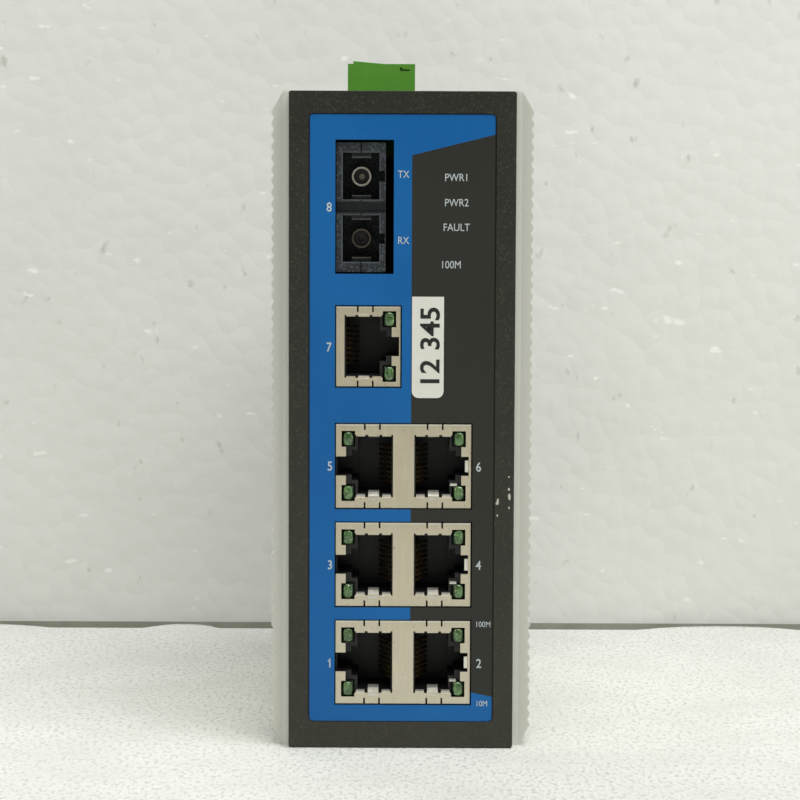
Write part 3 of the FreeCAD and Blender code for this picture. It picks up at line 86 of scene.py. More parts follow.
class Finish:
    """A material under construction: a Principled shader and the nodes that feed it."""

    def __init__(self, name, colour, roughness, metallic=0.0, **surface):
        self.material = bpy.data.materials.new(name)
        self.material.use_nodes = True
        self.tree = self.material.node_tree
        self.shader = self.tree.nodes["Principled BSDF"]
        self.shader.inputs["Base Color"].default_value = colour
        self.shader.inputs["Roughness"].default_value = roughness
        self.shader.inputs["Metallic"].default_value = metallic
        for socket, value in surface.items():
            self.shader.inputs[socket.replace("_", " ")].default_value = value
        self.colour = colour
        self.place = self.tree.nodes.new("ShaderNodeTexCoord").outputs["Object"]

    def feed(self, socket, value):
        """Set a socket to a number or colour, or link it to another socket."""
        if isinstance(value, bpy.types.NodeSocket):
            self.tree.links.new(value, socket)
        else:
            socket.default_value = value

    def sum(self, operation, first, second=0.0, third=0.0):
        """A Math node's result."""
        node = self.tree.nodes.new("ShaderNodeMath")
        node.operation = operation
        for socket, value in zip(node.inputs, (first, second, third)):
            self.feed(socket, value)
        return node.outputs[0]

    def axes(self):
        """The x, y and z of the place on the object, in metres."""
        node = self.tree.nodes.new("ShaderNodeSeparateXYZ")
        self.feed(node.inputs[0], self.place)
        return node.outputs

    def stretched(self, x, y, z):
        """The place with each axis scaled."""
        node = self.tree.nodes.new("ShaderNodeMapping")
        self.feed(node.inputs["Vector"], self.place)
        node.inputs["Scale"].default_value = (x, y, z)
        return node.outputs[0]

    def noise(self, grain, detail=4.0, place=None):
        """Noise from 0 to 1 whose blotches are about grain metres wide."""
        node = self.tree.nodes.new("ShaderNodeTexNoise")
        self.feed(node.inputs["Vector"], place or self.place)
        node.inputs["Scale"].default_value = 1 / grain
        node.inputs["Detail"].default_value = detail
        return node.outputs[0]

    def spread(self, value, low, high, to_low=0.0, to_high=1.0):
        """A value's range from low to high stretched over another, and held at its ends."""
        node = self.tree.nodes.new("ShaderNodeMapRange")
        for socket, number in zip(node.inputs, (value, low, high, to_low, to_high)):
            self.feed(socket, number)
        return node.outputs[0]

    def blend(self, factor, first, second):
        """A colour between two."""
        node = self.tree.nodes.new("ShaderNodeMix")
        node.data_type = "RGBA"
        self.feed(node.inputs[0], factor)
        self.feed(node.inputs[6], first)
        self.feed(node.inputs[7], second)
        return node.outputs[2]

    def tint(self, factor, second):
        """Colour the surface between its own colour and another."""
        self.colour = self.blend(factor, self.colour, second)
        self.feed(self.shader.inputs["Base Color"], self.colour)

    def bump(self, height, depth, strength=1.0):
        """Raise the surface by a height from 0 to 1, depth metres at most."""
        node = self.tree.nodes.new("ShaderNodeBump")
        node.inputs["Strength"].default_value = strength
        node.inputs["Distance"].default_value = depth
        self.feed(node.inputs["Height"], height)
        normal = self.shader.inputs["Normal"]
        if normal.is_linked:
            self.feed(node.inputs["Normal"], normal.links[0].from_socket)
        self.feed(normal, node.outputs[0])

    def spot(self, x, z, half_width, half_height, ragged):
        """1 inside a ragged oval on the front, given in millimetres, and 0 outside."""
        across, _, up = self.axes()
        wide = self.sum("DIVIDE", self.sum("SUBTRACT", across, x * MM), half_width * MM)
        tall = self.sum("DIVIDE", self.sum("SUBTRACT", up, z * MM), half_height * MM)
        squares = self.sum("ADD", self.sum("POWER", wide, 2.0), self.sum("POWER", tall, 2.0))
        reach = self.sum("SQRT", squares)
        edge = self.sum("MULTIPLY", self.sum("SUBTRACT", ragged, 0.5), RAGGEDNESS)
        return self.spread(self.sum("ADD", reach, edge), 1.1, 0.9)


def dress(material, *names):
    """Give CAD nodes a finish."""
    for name in names:
        for slot in NODES[name].material_slots:
            slot.material = material


WELD_DISTANCE = 1e-6
SHARP_ANGLE = math.radians(35)


def soften(width, *names):
    """Break the sharp edges of CAD nodes, so that they catch the light as real edges do."""
    for name in names:
        weld = NODES[name].modifiers.new("weld", "WELD")
        weld.merge_threshold = WELD_DISTANCE
        bevel = NODES[name].modifiers.new("edges", "BEVEL")
        bevel.width = width
        bevel.segments = 2
        bevel.limit_method = "ANGLE"
        bevel.angle_limit = SHARP_ANGLE


RAGGEDNESS = 2.2
PAINT_CHIPS = (
    (19.75, 51.2, 0.34, 0.62), (22.15, 52.4, 0.26, 0.74), (22.05, 53.9, 0.2, 0.28),
    (22.05, 56.4, 0.17, 0.22), (22.1, 50.1, 0.17, 0.26), (19.7, 48.4, 0.12, 0.25),
)


def case_paint():
    finish = Finish("case_paint", srgb(34, 34, 28), 0.62, Specular_IOR_Level=0.28)
    grain = finish.noise(0.45 * MM, 3.0)
    finish.tint(finish.spread(grain, 0.55, 0.68), srgb(60, 59, 50))
    finish.tint(finish.spread(finish.noise(14 * MM), 0.45, 0.75, 0.0, 0.3), srgb(56, 56, 46))
    _, _, up = finish.axes()
    # Painted light: the paint grows lighter towards the bottom of the case.
    lower_painted_light = finish.spread(up, cad_high.z, cad_low.z, 0.0, 0.3)
    finish.tint(lower_painted_light, srgb(84, 84, 74))
    finish.bump(grain, 0.06 * MM, 0.7)
    ragged = finish.noise(1.1 * MM, 2.0)
    for x, z, half_width, half_height in PAINT_CHIPS:
        mark = finish.spot(x, z, half_width, half_height, ragged)
        finish.tint(mark, srgb(186, 184, 170))
    finish.feed(finish.shader.inputs["Roughness"], finish.spread(grain, 0.4, 0.7, 0.55, 0.75))
    return finish.material


dress(case_paint(), "front_bezel", "chassis")


# Overlay: printed polyester film in the bezel's recess
# Blue over the left and the top, dark grey over the right below a slanting line, and a blue
# wedge at the foot. The film is satin, its edges are cut clean, and a thin painted shadow
# runs along its sides and top, where the edge of the recess is in shade.

DARK_LEFT = 1.92 * MM
TOP_SLOPE, TOP_HEIGHT = 0.25, 121.46 * MM
FOOT_SLOPE, FOOT_HEIGHT = -0.21, 14.72 * MM
# Widths of the painted shadow along the film's sides and top.
EDGE_SHADE_SIDE, EDGE_SHADE_TOP = 0.2 * MM, 0.15 * MM


def overlay_print():
    finish = Finish("overlay_print", srgb(8, 92, 158), 0.4, Specular_IOR_Level=0.3)
    across, _, up = finish.axes()
    cloud = finish.noise(26 * MM, 2.0)
    finish.tint(finish.spread(cloud, 0.35, 0.7), srgb(14, 100, 166))
    right = finish.sum("GREATER_THAN", across, DARK_LEFT)
    top_line = finish.sum("MULTIPLY_ADD", across, TOP_SLOPE, TOP_HEIGHT)
    below_top = finish.sum("LESS_THAN", up, top_line)
    foot_line = finish.sum("MULTIPLY_ADD", across, FOOT_SLOPE, FOOT_HEIGHT)
    above_foot = finish.sum("GREATER_THAN", up, foot_line)
    dark = finish.sum("MULTIPLY", right, finish.sum("MULTIPLY", below_top, above_foot))
    finish.tint(dark, srgb(45, 45, 40))
    # Painted shadow: a thin dark band along the film's sides and top, where the edge of the recess
    # is in shade.
    low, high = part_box("front_overlay")
    off_middle = finish.sum("ABSOLUTE", finish.sum("SUBTRACT", across, (low.x + high.x) / 2))
    at_side = finish.sum("GREATER_THAN", off_middle, (high.x - low.x) / 2 - EDGE_SHADE_SIDE)
    in_edge_shade = finish.sum("MAXIMUM", at_side, finish.sum("GREATER_THAN", up, high.z - EDGE_SHADE_TOP))
    finish.tint(finish.sum("MULTIPLY", in_edge_shade, 0.8), srgb(14, 15, 14))
    finish.bump(finish.noise(0.25 * MM, 2.0), 0.02 * MM, 0.35)
    finish.feed(finish.shader.inputs["Roughness"], finish.spread(cloud, 0.3, 0.7, 0.34, 0.46))
    return finish.material


dress(overlay_print(), "front_overlay")


# Lettering: white screen print on the film, a few hundredths of a millimetre thick
# Port numbers stand beside the jacks, and short captions beside the lights and fibre sockets.

def print_white():
    finish = Finish("print_white", srgb(188, 197, 198), 0.5)
    finish.tint(finish.spread(finish.noise(0.5 * MM), 0.5, 0.8), srgb(166, 176, 180))
    return finish.material


def piece_from(shape, name, material, body="case", smooth=False):
    """An object made from a bmesh, riding on a body."""
    mesh = bpy.data.meshes.new(name)
    shape.to_mesh(mesh)
    shape.free()
    for face in mesh.polygons:
        face.use_smooth = smooth
    mesh.materials.append(material)
    piece = bpy.data.objects.new(name, mesh)
    bpy.context.scene.collection.objects.link(piece)
    if body:
        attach(piece, body)
    return piece


CAPITAL_SHARE = 0.69
PRINT_DEPTH = 0.03 * MM


def lettering(name, words, x, z, height, ink, face, turn=0.0, weight=0.0, squeeze=0.86):
    """Flat words whose middle is at x and z, in millimetres, and that lie on the face at that y."""
    curve = bpy.data.curves.new(name, "FONT")
    curve.body = words
    curve.size = height * MM / CAPITAL_SHARE
    curve.align_x = "CENTER"
    curve.align_y = "CENTER"
    curve.extrude = PRINT_DEPTH / 2
    curve.offset = weight * MM
    curve.resolution_u = 4
    words_object = bpy.data.objects.new(name + "_curve", curve)
    mesh = bpy.data.meshes.new_from_object(words_object)
    bpy.data.objects.remove(words_object)
    bpy.data.curves.remove(curve)
    mesh.transform(Matrix.Diagonal((squeeze, 1, 1, 1)))
    mesh.materials.clear()
    mesh.materials.append(ink)
    piece = bpy.data.objects.new(name, mesh)
    bpy.context.scene.collection.objects.link(piece)
    piece.rotation_euler = (math.pi / 2, -turn, 0)
    piece.location = (x * MM, face - PRINT_DEPTH / 2, z * MM)
    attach(piece, "case")


overlay_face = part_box("front_overlay")[0].y
ink = print_white()
PORT_NUMBERS = {
    "8": (-14.9, 111.3), "7": (-14.9, 82.8), "5": (-14.65, 58.4), "6": (15.8, 58.3),
    "3": (-14.6, 38.0), "4": (15.9, 38.0), "1": (-14.6, 17.6), "2": (16.1, 17.6),
}
for number, (x, z) in PORT_NUMBERS.items():
    lettering(f"port_number_{number}", number, x, z, 1.8, ink, overlay_face, weight=0.03)


def flag_of_one(corners):
    """The slanting stroke at the head of the numeral 1, which the typeface leaves out."""
    one_x, one_z = PORT_NUMBERS["1"]
    flag = bmesh.new()
    flag.faces.new([flag.verts.new(((one_x + x) * MM, 0, (one_z + z) * MM)) for x, z in corners])
    thick = bmesh.ops.extrude_face_region(flag, geom=flag.faces[:])
    for corner in flag.verts:
        corner.co.y = overlay_face
    for corner in thick["geom"]:
        if isinstance(corner, bmesh.types.BMVert):
            corner.co.y = overlay_face - PRINT_DEPTH
    bmesh.ops.recalc_face_normals(flag, faces=flag.faces)
    return flag


FLAG_CORNERS = ((0.1, 0.9), (0.1, 0.62), (-0.42, 0.3), (-0.42, 0.56))
piece_from(flag_of_one(FLAG_CORNERS), "port_number_flag", ink)
CAPTIONS = (
    ("TX", 0.2, 118.0, 1.45), ("RX", 0.2, 104.6, 1.45),
    ("PWR1", 11.0, 117.4, 1.5), ("PWR2", 11.0, 112.3, 1.5), ("FAULT", 11.0, 107.3, 1.5),
    ("100M", 9.9, 99.7, 1.5), ("100M", 16.9, 25.8, 1.15), ("10M", 16.7, 9.3, 1.15),
)
for count, (words, x, z, height) in enumerate(CAPTIONS, 1):
    lettering(f"caption_{count}", words, x, z, height, ink, overlay_face)


# Name tape: laminated white tape with a plain black number
# It is cut from a roll and held by its own glue on the film, beside port 7.

def tape_white():
    finish = Finish("tape_white", srgb(222, 222, 212), 0.42)
    finish.tint(finish.spread(finish.noise(3 * MM), 0.5, 0.8, 0.0, 0.35), srgb(205, 203, 190))
    finish.bump(finish.noise(1.2 * MM, 2.0), 0.02 * MM, 0.4)
    return finish.material


def tape_black():
    finish = Finish("tape_black", srgb(24, 24, 22), 0.5)
    finish.tint(finish.spread(finish.noise(0.6 * MM), 0.5, 0.8, 0.0, 0.5), srgb(40, 40, 37))
    return finish.material


NUMBER_SHIFT = 0.65
dress(tape_white(), "name_tape")
tape_low, tape_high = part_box("name_tape")
tape_x = (tape_low.x + tape_high.x) / 2 / MM + NUMBER_SHIFT
tape_z = (tape_low.z + tape_high.z) / 2 / MM
lettering(
    "tape_number", "12 345", tape_x, tape_z, 3.8, tape_black(), tape_low.y,
    turn=math.pi / 2, weight=0.1, squeeze=1.1,
)


# Side panels: extruded aluminium with saw-tooth fins that run from the front to the back
# They are anodised, with fine draw lines along their length, and are screwed to the chassis.

SHOULDER = 1.3 * MM
shoulder_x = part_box("front_bezel")[1].x + SHOULDER


def anodised():
    finish = Finish("anodised_aluminium", srgb(230, 230, 220), 0.44, 0.2)
    lines = finish.noise(0.25 * MM, 3.0, finish.stretched(1.0, 0.02, 1.0))
    finish.tint(finish.spread(lines, 0.4, 0.75, 0.0, 0.4), srgb(203, 203, 192))
    finish.bump(lines, 0.02 * MM, 0.35)
    across, depth, _ = finish.axes()
    # Painted shade: the fin ends on the front face, beyond the flat shoulder beside the bezel, are
    # darker.
    off_middle = finish.sum("ABSOLUTE", across)
    beyond = finish.spread(off_middle, shoulder_x - 0.05 * MM, shoulder_x + 0.05 * MM)
    at_front = finish.sum("LESS_THAN", depth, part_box("side_panel_left")[0].y + 0.2 * MM)
    shaded_fin_ends = finish.sum("MULTIPLY", beyond, at_front)
    finish.tint(finish.sum("MULTIPLY", shaded_fin_ends, 0.45), srgb(190, 190, 178))
    finish.feed(finish.shader.inputs["Roughness"], finish.spread(lines, 0.3, 0.7, 0.36, 0.5))
    return finish.material


dress(anodised(), "side_panel_left", "side_panel_right")
soften(0.04 * MM, "side_panel_left", "side_panel_right")


# Jacks: nickel-plated shields round black inserts, with green lamps and gilt contacts
# Each shield is folded from thin sheet. Spring fingers slope in from the edges of each port to
# touch a plug's own shield, and each port has two lamps in dark pockets.

SHIELDS = sorted(name for name in NODES if name.endswith("_shield"))
INSERTS = sorted(name for name in NODES if name.endswith("_insert"))


def nickel():
    finish = Finish("jack_nickel", srgb(206, 196, 170), 0.4, 0.7)
    streaks = finish.noise(0.8 * MM, 3.0, finish.stretched(1.0, 1.0, 0.08))
    finish.tint(finish.spread(streaks, 0.45, 0.7, 0.0, 0.45), srgb(222, 214, 194))
    finish.tint(finish.spread(finish.noise(5 * MM), 0.4, 0.7, 0.0, 0.5), srgb(198, 188, 164))
    specks = finish.spread(finish.noise(0.6 * MM, 3.0), 0.7, 0.73)
    finish.tint(specks, srgb(128, 116, 92))
    _, _, up = finish.axes()
    # Painted light: the shields grow lighter towards the bottom.
    finish.tint(finish.spread(up, 70 * MM, 10 * MM, 0.0, 0.6), srgb(219, 212, 192))
    # Painted highlight: a bright strip along the top edge of each shield, where its bend catches
    # the light.
    for name in SHIELDS:
        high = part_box(name)[1]
        from_top = finish.sum("ABSOLUTE", finish.sum("SUBTRACT", up, high.z))
        top_highlight = finish.sum("LESS_THAN", from_top, 0.35 * MM)
        finish.tint(finish.sum("MULTIPLY", top_highlight, 0.8), srgb(240, 236, 222))
    finish.bump(finish.noise(0.3 * MM), 0.01 * MM, 0.4)
    return finish.material


def black_moulding():
    finish = Finish("black_moulding", srgb(22, 22, 22), 0.48)
    finish.tint(finish.spread(finish.noise(2 * MM), 0.45, 0.8, 0.0, 0.5), srgb(34, 34, 33))
    finish.bump(finish.noise(0.2 * MM), 0.01 * MM, 0.5)
    return finish.material


def lamp_pocket():
    finish = Finish("lamp_pocket", srgb(22, 40, 24), 0.35)
    finish.tint(finish.spread(finish.noise(1.0 * MM), 0.4, 0.8), srgb(14, 22, 15))
    return finish.material


def lamp_green():
    finish = Finish("lamp_green", srgb(58, 96, 46), 0.14, Coat_Weight=0.8)
    finish.shader.inputs["Transmission Weight"].default_value = 0.25
    finish.shader.inputs["Subsurface Weight"].default_value = 0.3
    finish.shader.inputs["Subsurface Scale"].default_value = 1.5 * MM
    finish.tint(finish.spread(finish.noise(1.1 * MM, 3.0), 0.42, 0.62), srgb(104, 148, 84))
    # Painted highlights: small bright flecks on the lenses.
    finish.tint(finish.spread(finish.noise(0.5 * MM, 2.0), 0.62, 0.7), srgb(188, 214, 160))
    return finish.material


def gilt():
    finish = Finish("contact_gilt", srgb(140, 118, 72), 0.45, 1.0)
    finish.tint(finish.spread(finish.noise(0.8 * MM), 0.5, 0.8), srgb(104, 88, 56))
    return finish.material


dress(nickel(), *SHIELDS)
black = black_moulding()
dress(black, *INSERTS)
dress(lamp_pocket(), "port_lights")
dress(gilt(), "port_contacts")
soften(0.06 * MM, *SHIELDS)


LEFT_PORTS = (1, 3, 5)
SINGLE_PORT = 7
CONTACT_ROOM = 2.98 * MM
PORT_HALF = 6.435 * MM
LENS_OUT = 9.175 * MM
LENS_UP = 5.58 * MM


class Port:
    """One port: the x of its web edge, its outward direction and the z of its middle."""

    def __init__(self, opening):
        low, high = (Vector(corner) for corner in opening["box_m"])
        number = int(opening["name"].split("_")[1])
        self.number = number
        self.outward = -1 if number in LEFT_PORTS else 1
        self.web = (low.x if self.outward > 0 else high.x) - self.outward * CONTACT_ROOM
        self.z = (low.z + high.z) / 2

    def x(self, distance):
        """The x at a distance outward from the web edge."""
        return self.web + self.outward * distance


OPENINGS = frame["record"]["physics"]["openings"]
PORTS = [Port(opening) for opening in OPENINGS if opening["name"].startswith("socket_")]
jack_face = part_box(SHIELDS[0])[0].y


def add_strip(shape, path, middle_x, width, thickness):
    """A sheet strip that follows a path of (y, z) places, width across and thickness below."""
    rings = []
    for y, z in path:
        ring = [
            shape.verts.new((middle_x + across * width / 2, y, z + drop))
            for across, drop in ((-1, 0), (1, 0), (1, -thickness), (-1, -thickness))
        ]
        rings.append(ring)
    for first, second in zip(rings, rings[1:]):
        for corner in range(4):
            after = (corner + 1) % 4
            shape.faces.new((first[corner], first[after], second[after], second[corner]))
    shape.faces.new(rings[0][::-1])
    shape.faces.new(rings[-1])


def finger_metal():
    finish = Finish("finger_metal", srgb(236, 233, 222), 0.34, 0.7)
    finish.tint(finish.spread(finish.noise(1.2 * MM), 0.4, 0.8), srgb(206, 200, 184))
    finish.bump(finish.noise(0.6 * MM), 0.01 * MM, 0.4)
    return finish.material


LOWER_PATH = (
    (-0.06, -0.45), (0.0, 0.0), (0.25, 0.6), (0.9, 1.0), (2.1, 1.1), (3.2, 1.15), (4.6, 1.0),
    (5.2, 0.8),
)
UPPER_PATH = ((0.1, 0.34), (1.2, 0.38), (2.6, 0.6), (4.2, 0.9), (5.2, 0.8))
LOWER_SIDE_PATH = ((-0.03, -0.05), (0.03, 0.1), (0.1, 0.42), (0.9, 0.6))
UPPER_SIDE_PATH = ((0.1, 0.34), (0.9, 0.4))
SHORT_PATH = ((-0.03, -0.1), (0.05, 0.1), (0.15, 0.34), (2.0, 0.4), (4.0, 0.42))
FINGER_SHEET = 0.1 * MM
MIDDLE_FINGER = (3.95, 2.2)
SIDE_FINGERS = ((1.3, 1.7), (6.6, 1.7))
TAB_OUT, TAB_RISE = 10.75 * MM, 1.2 * MM
TAB_WIDTH, TAB_HEIGHT = 0.7 * MM, 2.4 * MM
TAB_REACH = (0.04, 0.3)
LEDGE_PATH = ((0.5, 0.0), (0.6, 0.3), (1.2, 0.42))
LEDGE_IN, LEDGE_RISE, LEDGE_WIDTH = 1.1 * MM, 1.6 * MM, 1.4 * MM


def fingers_at(port, side):
    """Path, distance out from the web and width of each finger at the lower or upper edge."""
    if port.number == SINGLE_PORT:
        return [(SHORT_PATH, *MIDDLE_FINGER)]
    middle, beside = (UPPER_PATH, UPPER_SIDE_PATH) if side > 0 else (LOWER_PATH, LOWER_SIDE_PATH)
    return [(middle, *MIDDLE_FINGER)] + [(beside, *place) for place in SIDE_FINGERS]


fingers = bmesh.new()
for port in PORTS:
    for side in (-1, 1):
        edge = port.z + side * PORT_HALF
        for path, out, width in fingers_at(port, side):
            places = [(jack_face + y * MM, edge - side * z * MM) for y, z in path]
            add_strip(fingers, places, port.x(out * MM), width * MM, -side * FINGER_SHEET)
    if port.outward > 0 and port.number != SINGLE_PORT:
        places = [(jack_face + y * MM, port.z + TAB_RISE) for y in TAB_REACH]
        add_strip(fingers, places, port.x(TAB_OUT), TAB_WIDTH, TAB_HEIGHT)
        low = port.z - LENS_UP + LEDGE_RISE
        places = [(jack_face + y * MM, low + rise * MM) for y, rise in LEDGE_PATH]
        add_strip(fingers, places, port.x(LENS_OUT - LEDGE_IN), LEDGE_WIDTH, FINGER_SHEET)
bmesh.ops.recalc_face_normals(fingers, faces=fingers.faces)
spring_fingers = piece_from(fingers, "spring_fingers", finger_metal())


LENS_HALF = (0.98 * MM, 0.6 * MM, 1.42 * MM)
LENS_BACK = 0.5 * MM
LENS_SQUARENESS = 0.72


def add_lens(shape, middle, half):
    """A lens with a rounded-box form about a middle, with half sizes in x, y and z."""
    made = bmesh.ops.create_uvsphere(shape, u_segments=20, v_segments=14, radius=1.0)
    for corner in made["verts"]:
        place = [math.copysign(abs(value) ** LENS_SQUARENESS, value) for value in corner.co]
        corner.co = middle + Vector(value * size for value, size in zip(place, half))


lenses = bmesh.new()
for port in PORTS:
    for side in (-1, 1):
        middle = Vector((port.x(LENS_OUT), jack_face + LENS_BACK, port.z + side * LENS_UP))
        add_lens(lenses, middle, LENS_HALF)
lamp_lenses = piece_from(lenses, "lamp_lenses", lamp_green(), smooth=True)


# Fibre receptacle: dark glass-filled moulding with two metal sleeves for the plugs' ferrules
# It stands in the bezel's window, in front of the fibre module on the main board.

FIBRE_SOCKETS = [
    [Vector(corner) for corner in opening["box_m"]]
    for opening in OPENINGS
    if opening["name"].startswith("fibre_socket")
]
WEB_HALF = 1.3 * MM
MOUTH_DEPTH = 0.22 * MM
MOUTH_HALF_WIDTH, MOUTH_HALF_HEIGHT = 3.98 * MM, 4.98 * MM
HOOK_HALF_WIDTH, HOOK_HALF_LINE, HOOK_LIFT = 2.0 * MM, 0.15 * MM, 0.12 * MM


def fibre_moulding():
    finish = Finish("fibre_moulding", srgb(22, 27, 33), 0.5)
    finish.tint(finish.spread(finish.noise(0.4 * MM, 2.0), 0.5, 0.64), srgb(66, 74, 82))
    across, depth, up = finish.axes()
    low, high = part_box("fibre_receptacle")
    from_middle = finish.sum("ABSOLUTE", finish.sum("SUBTRACT", up, (low.z + high.z) / 2))
    between = finish.sum("LESS_THAN", from_middle, WEB_HALF)
    finish.tint(finish.sum("MULTIPLY", between, 0.8), srgb(12, 16, 20))
    # Painted highlight: the face round the mouth of each socket is lighter, where its rim catches
    # the light.
    at_face = finish.sum("LESS_THAN", depth, low.y + MOUTH_DEPTH)
    for socket_low, socket_high in FIBRE_SOCKETS:
        middle = (socket_low + socket_high) / 2
        from_x = finish.sum("ABSOLUTE", finish.sum("SUBTRACT", across, middle.x))
        from_z = finish.sum("ABSOLUTE", finish.sum("SUBTRACT", up, middle.z))
        beside = finish.sum("LESS_THAN", from_x, MOUTH_HALF_WIDTH)
        above = finish.sum("LESS_THAN", from_z, MOUTH_HALF_HEIGHT)
        mouth_highlight = finish.sum("MULTIPLY", above, finish.sum("MULTIPLY", beside, at_face))
        finish.tint(finish.sum("MULTIPLY", mouth_highlight, 0.7), srgb(92, 98, 102))
        # Painted highlight: a thin light line along the edge of each latch hook.
        hook = socket_high.z - middle.z + HOOK_LIFT
        off_edge = finish.sum("ABSOLUTE", finish.sum("SUBTRACT", from_z, hook))
        across_hook = finish.sum("LESS_THAN", from_x, HOOK_HALF_WIDTH)
        on_line = finish.sum("LESS_THAN", off_edge, HOOK_HALF_LINE)
        hook_highlight = finish.sum("MULTIPLY", on_line, finish.sum("MULTIPLY", across_hook, 0.8))
        finish.tint(hook_highlight, srgb(150, 150, 142))
    finish.bump(finish.noise(0.3 * MM), 0.03 * MM, 0.6)
    return finish.material


def sleeve_metal():
    finish = Finish("sleeve_metal", srgb(226, 220, 208), 0.3, 0.8)
    finish.tint(finish.spread(finish.noise(1 * MM), 0.4, 0.8), srgb(180, 170, 154))
    _, _, up = finish.axes()
    low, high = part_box("fibre_receptacle")
    lower = finish.sum("LESS_THAN", up, (low.z + high.z) / 2)
    finish.tint(finish.sum("MULTIPLY", lower, 0.85), srgb(60, 46, 36))
    return finish.material


dress(fibre_moulding(), "fibre_receptacle")
dress(black, "fibre_module", "fibre_guides")
dress(sleeve_metal(), "fibre_sleeves")
soften(0.12 * MM, "fibre_receptacle")


# Terminal plug and header: green moulded polyamide, with zinc-plated screws and tinned cages
# The plug pushes onto the header's tinned pins. The case's own screws are zinc-plated as well,
# and the stand-offs of the board are tinned.

def green_moulding():
    finish = Finish("green_moulding", srgb(92, 158, 48), 0.45)
    finish.tint(finish.spread(finish.noise(6 * MM), 0.4, 0.75, 0.0, 0.5), srgb(80, 144, 42))
    finish.bump(finish.noise(0.4 * MM), 0.02 * MM, 0.5)
    return finish.material


def zinc():
    finish = Finish("zinc_plate", srgb(186, 188, 190), 0.34, 0.95)
    finish.tint(finish.spread(finish.noise(1.5 * MM), 0.4, 0.75), srgb(150, 150, 150))
    finish.bump(finish.noise(0.3 * MM), 0.01 * MM, 0.4)
    return finish.material


def tin():
    finish = Finish("tin_plate", srgb(188, 182, 160), 0.4, 0.9)
    finish.tint(finish.spread(finish.noise(1 * MM), 0.4, 0.75), srgb(160, 152, 130))
    return finish.material


dress(green_moulding(), "terminal_plug", "terminal_header")
soften(0.15 * MM, "terminal_plug")
SCREWS = [name for name in NODES if "screw" in name]
dress(zinc(), *SCREWS)
soften(0.12 * MM, *SCREWS)
CAGES = [name for name in NODES if name.startswith("wire_clamp")]
dress(tin(), "terminal_pins", "board_standoffs", *CAGES)


# Alarm switches: a moulded red bank with eight small white slide levers
# The main board carries it below a window in the top, and each lever slides in its own slot.

def switch_red():
    finish = Finish("switch_red", srgb(150, 34, 28), 0.45)
    finish.tint(finish.spread(finish.noise(2 * MM), 0.4, 0.8), srgb(132, 28, 24))
    return finish.material


def lever_white():
    finish = Finish("lever_white", srgb(228, 228, 222), 0.4)
    finish.tint(finish.spread(finish.noise(0.5 * MM), 0.5, 0.9), srgb(205, 204, 196))
    return finish.material


dress(switch_red(), "alarm_switch_body")
dress(lever_white(), *[name for name in NODES if name.startswith("alarm_lever")])


# Rail plate and its spring: plain extruded aluminium, and a bowed spring wire in the upper slot
# The wire's ends lie against the plate, and its middle gives way as the rail is pushed in.

def mill_aluminium():
    finish = Finish("mill_aluminium", srgb(200, 201, 200), 0.36, 0.95)
    lines = finish.noise(0.3 * MM, 3.0, finish.stretched(0.02, 1.0, 1.0))
    finish.tint(finish.spread(lines, 0.35, 0.75), srgb(170, 172, 172))
    finish.bump(lines, 0.02 * MM, 0.4)
    return finish.material


def spring_wire():
    finish = Finish("spring_wire", srgb(120, 120, 122), 0.3, 1.0)
    finish.tint(finish.spread(finish.noise(2 * MM), 0.4, 0.8), srgb(92, 90, 90))
    return finish.material


dress(mill_aluminium(), "rail_plate")
soften(0.2 * MM, "rail_plate")


SPRING_STEPS = 24
SPRING_SIDES = 16


def half_spring(side):
    """Half of the bowed wire, from its end in the plate to its middle on the rail."""
    low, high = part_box("rail_spring")
    radius = (high.y - low.y) / 2
    span = high.x
    top = high.z - radius
    bow = top - (low.z + radius)
    bend = (span * span + bow * bow) / (2 * bow)
    middle_y = (low.y + high.y) / 2
    shape = bmesh.new()
    rings = []
    for step in range(SPRING_STEPS + 1):
        x = span * (1 - step / SPRING_STEPS)
        fall = math.sqrt(bend * bend - x * x)
        ring = []
        for number in range(SPRING_SIDES):
            angle = 2 * math.pi * number / SPRING_SIDES
            out = math.cos(angle) * radius / bend
            y = middle_y + math.sin(angle) * radius
            z = top - bow + bend - fall * (1 + out)
            ring.append(shape.verts.new((side * x * (1 + out), y, z)))
        rings.append(ring)
    for first, second in zip(rings, rings[1:]):
        for number in range(SPRING_SIDES):
            after = (number + 1) % SPRING_SIDES
            shape.faces.new((first[number], first[after], second[after], second[number]))
    shape.faces.new(rings[0])
    shape.faces.new(rings[-1][::-1])
    bmesh.ops.recalc_face_normals(shape, faces=shape.faces)
    name = "rail_spring_right" if side > 0 else "rail_spring_left"
    wire = piece_from(shape, name, spring_steel, body=None, smooth=True)
    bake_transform(wire)
    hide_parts("rail_spring")


spring_steel = spring_wire()
for side in (-1, 1):
    half_spring(side)


# Main board and what stands on it, all inside the case, and the clear light guide
# The board has a green solder mask and black parts. The guide stands behind the overlay.

def solder_mask():
    finish = Finish("solder_mask", srgb(24, 92, 52), 0.35)
    finish.tint(finish.spread(finish.noise(1.5 * MM), 0.5, 0.6), srgb(18, 74, 42))
    return finish.material


def clear_guide():
    finish = Finish("clear_guide", srgb(225, 228, 228), 0.2)
    finish.shader.inputs["Transmission Weight"].default_value = 0.7
    finish.bump(finish.noise(2 * MM), 0.02 * MM, 0.3)
    return finish.material


dress(solder_mask(), "main_board")
dress(black, "switch_chip", "signal_transformers", "fault_relay", "power_capacitors")
dress(clear_guide(), "status_lights")


# Stage: a floor of foam sheet with a wavy back edge, in front of a board of expanded beads
# The sheet's edge touches the board in places and sags in others, where a dull grey strip of
# painted shade stands for the shaded gap.

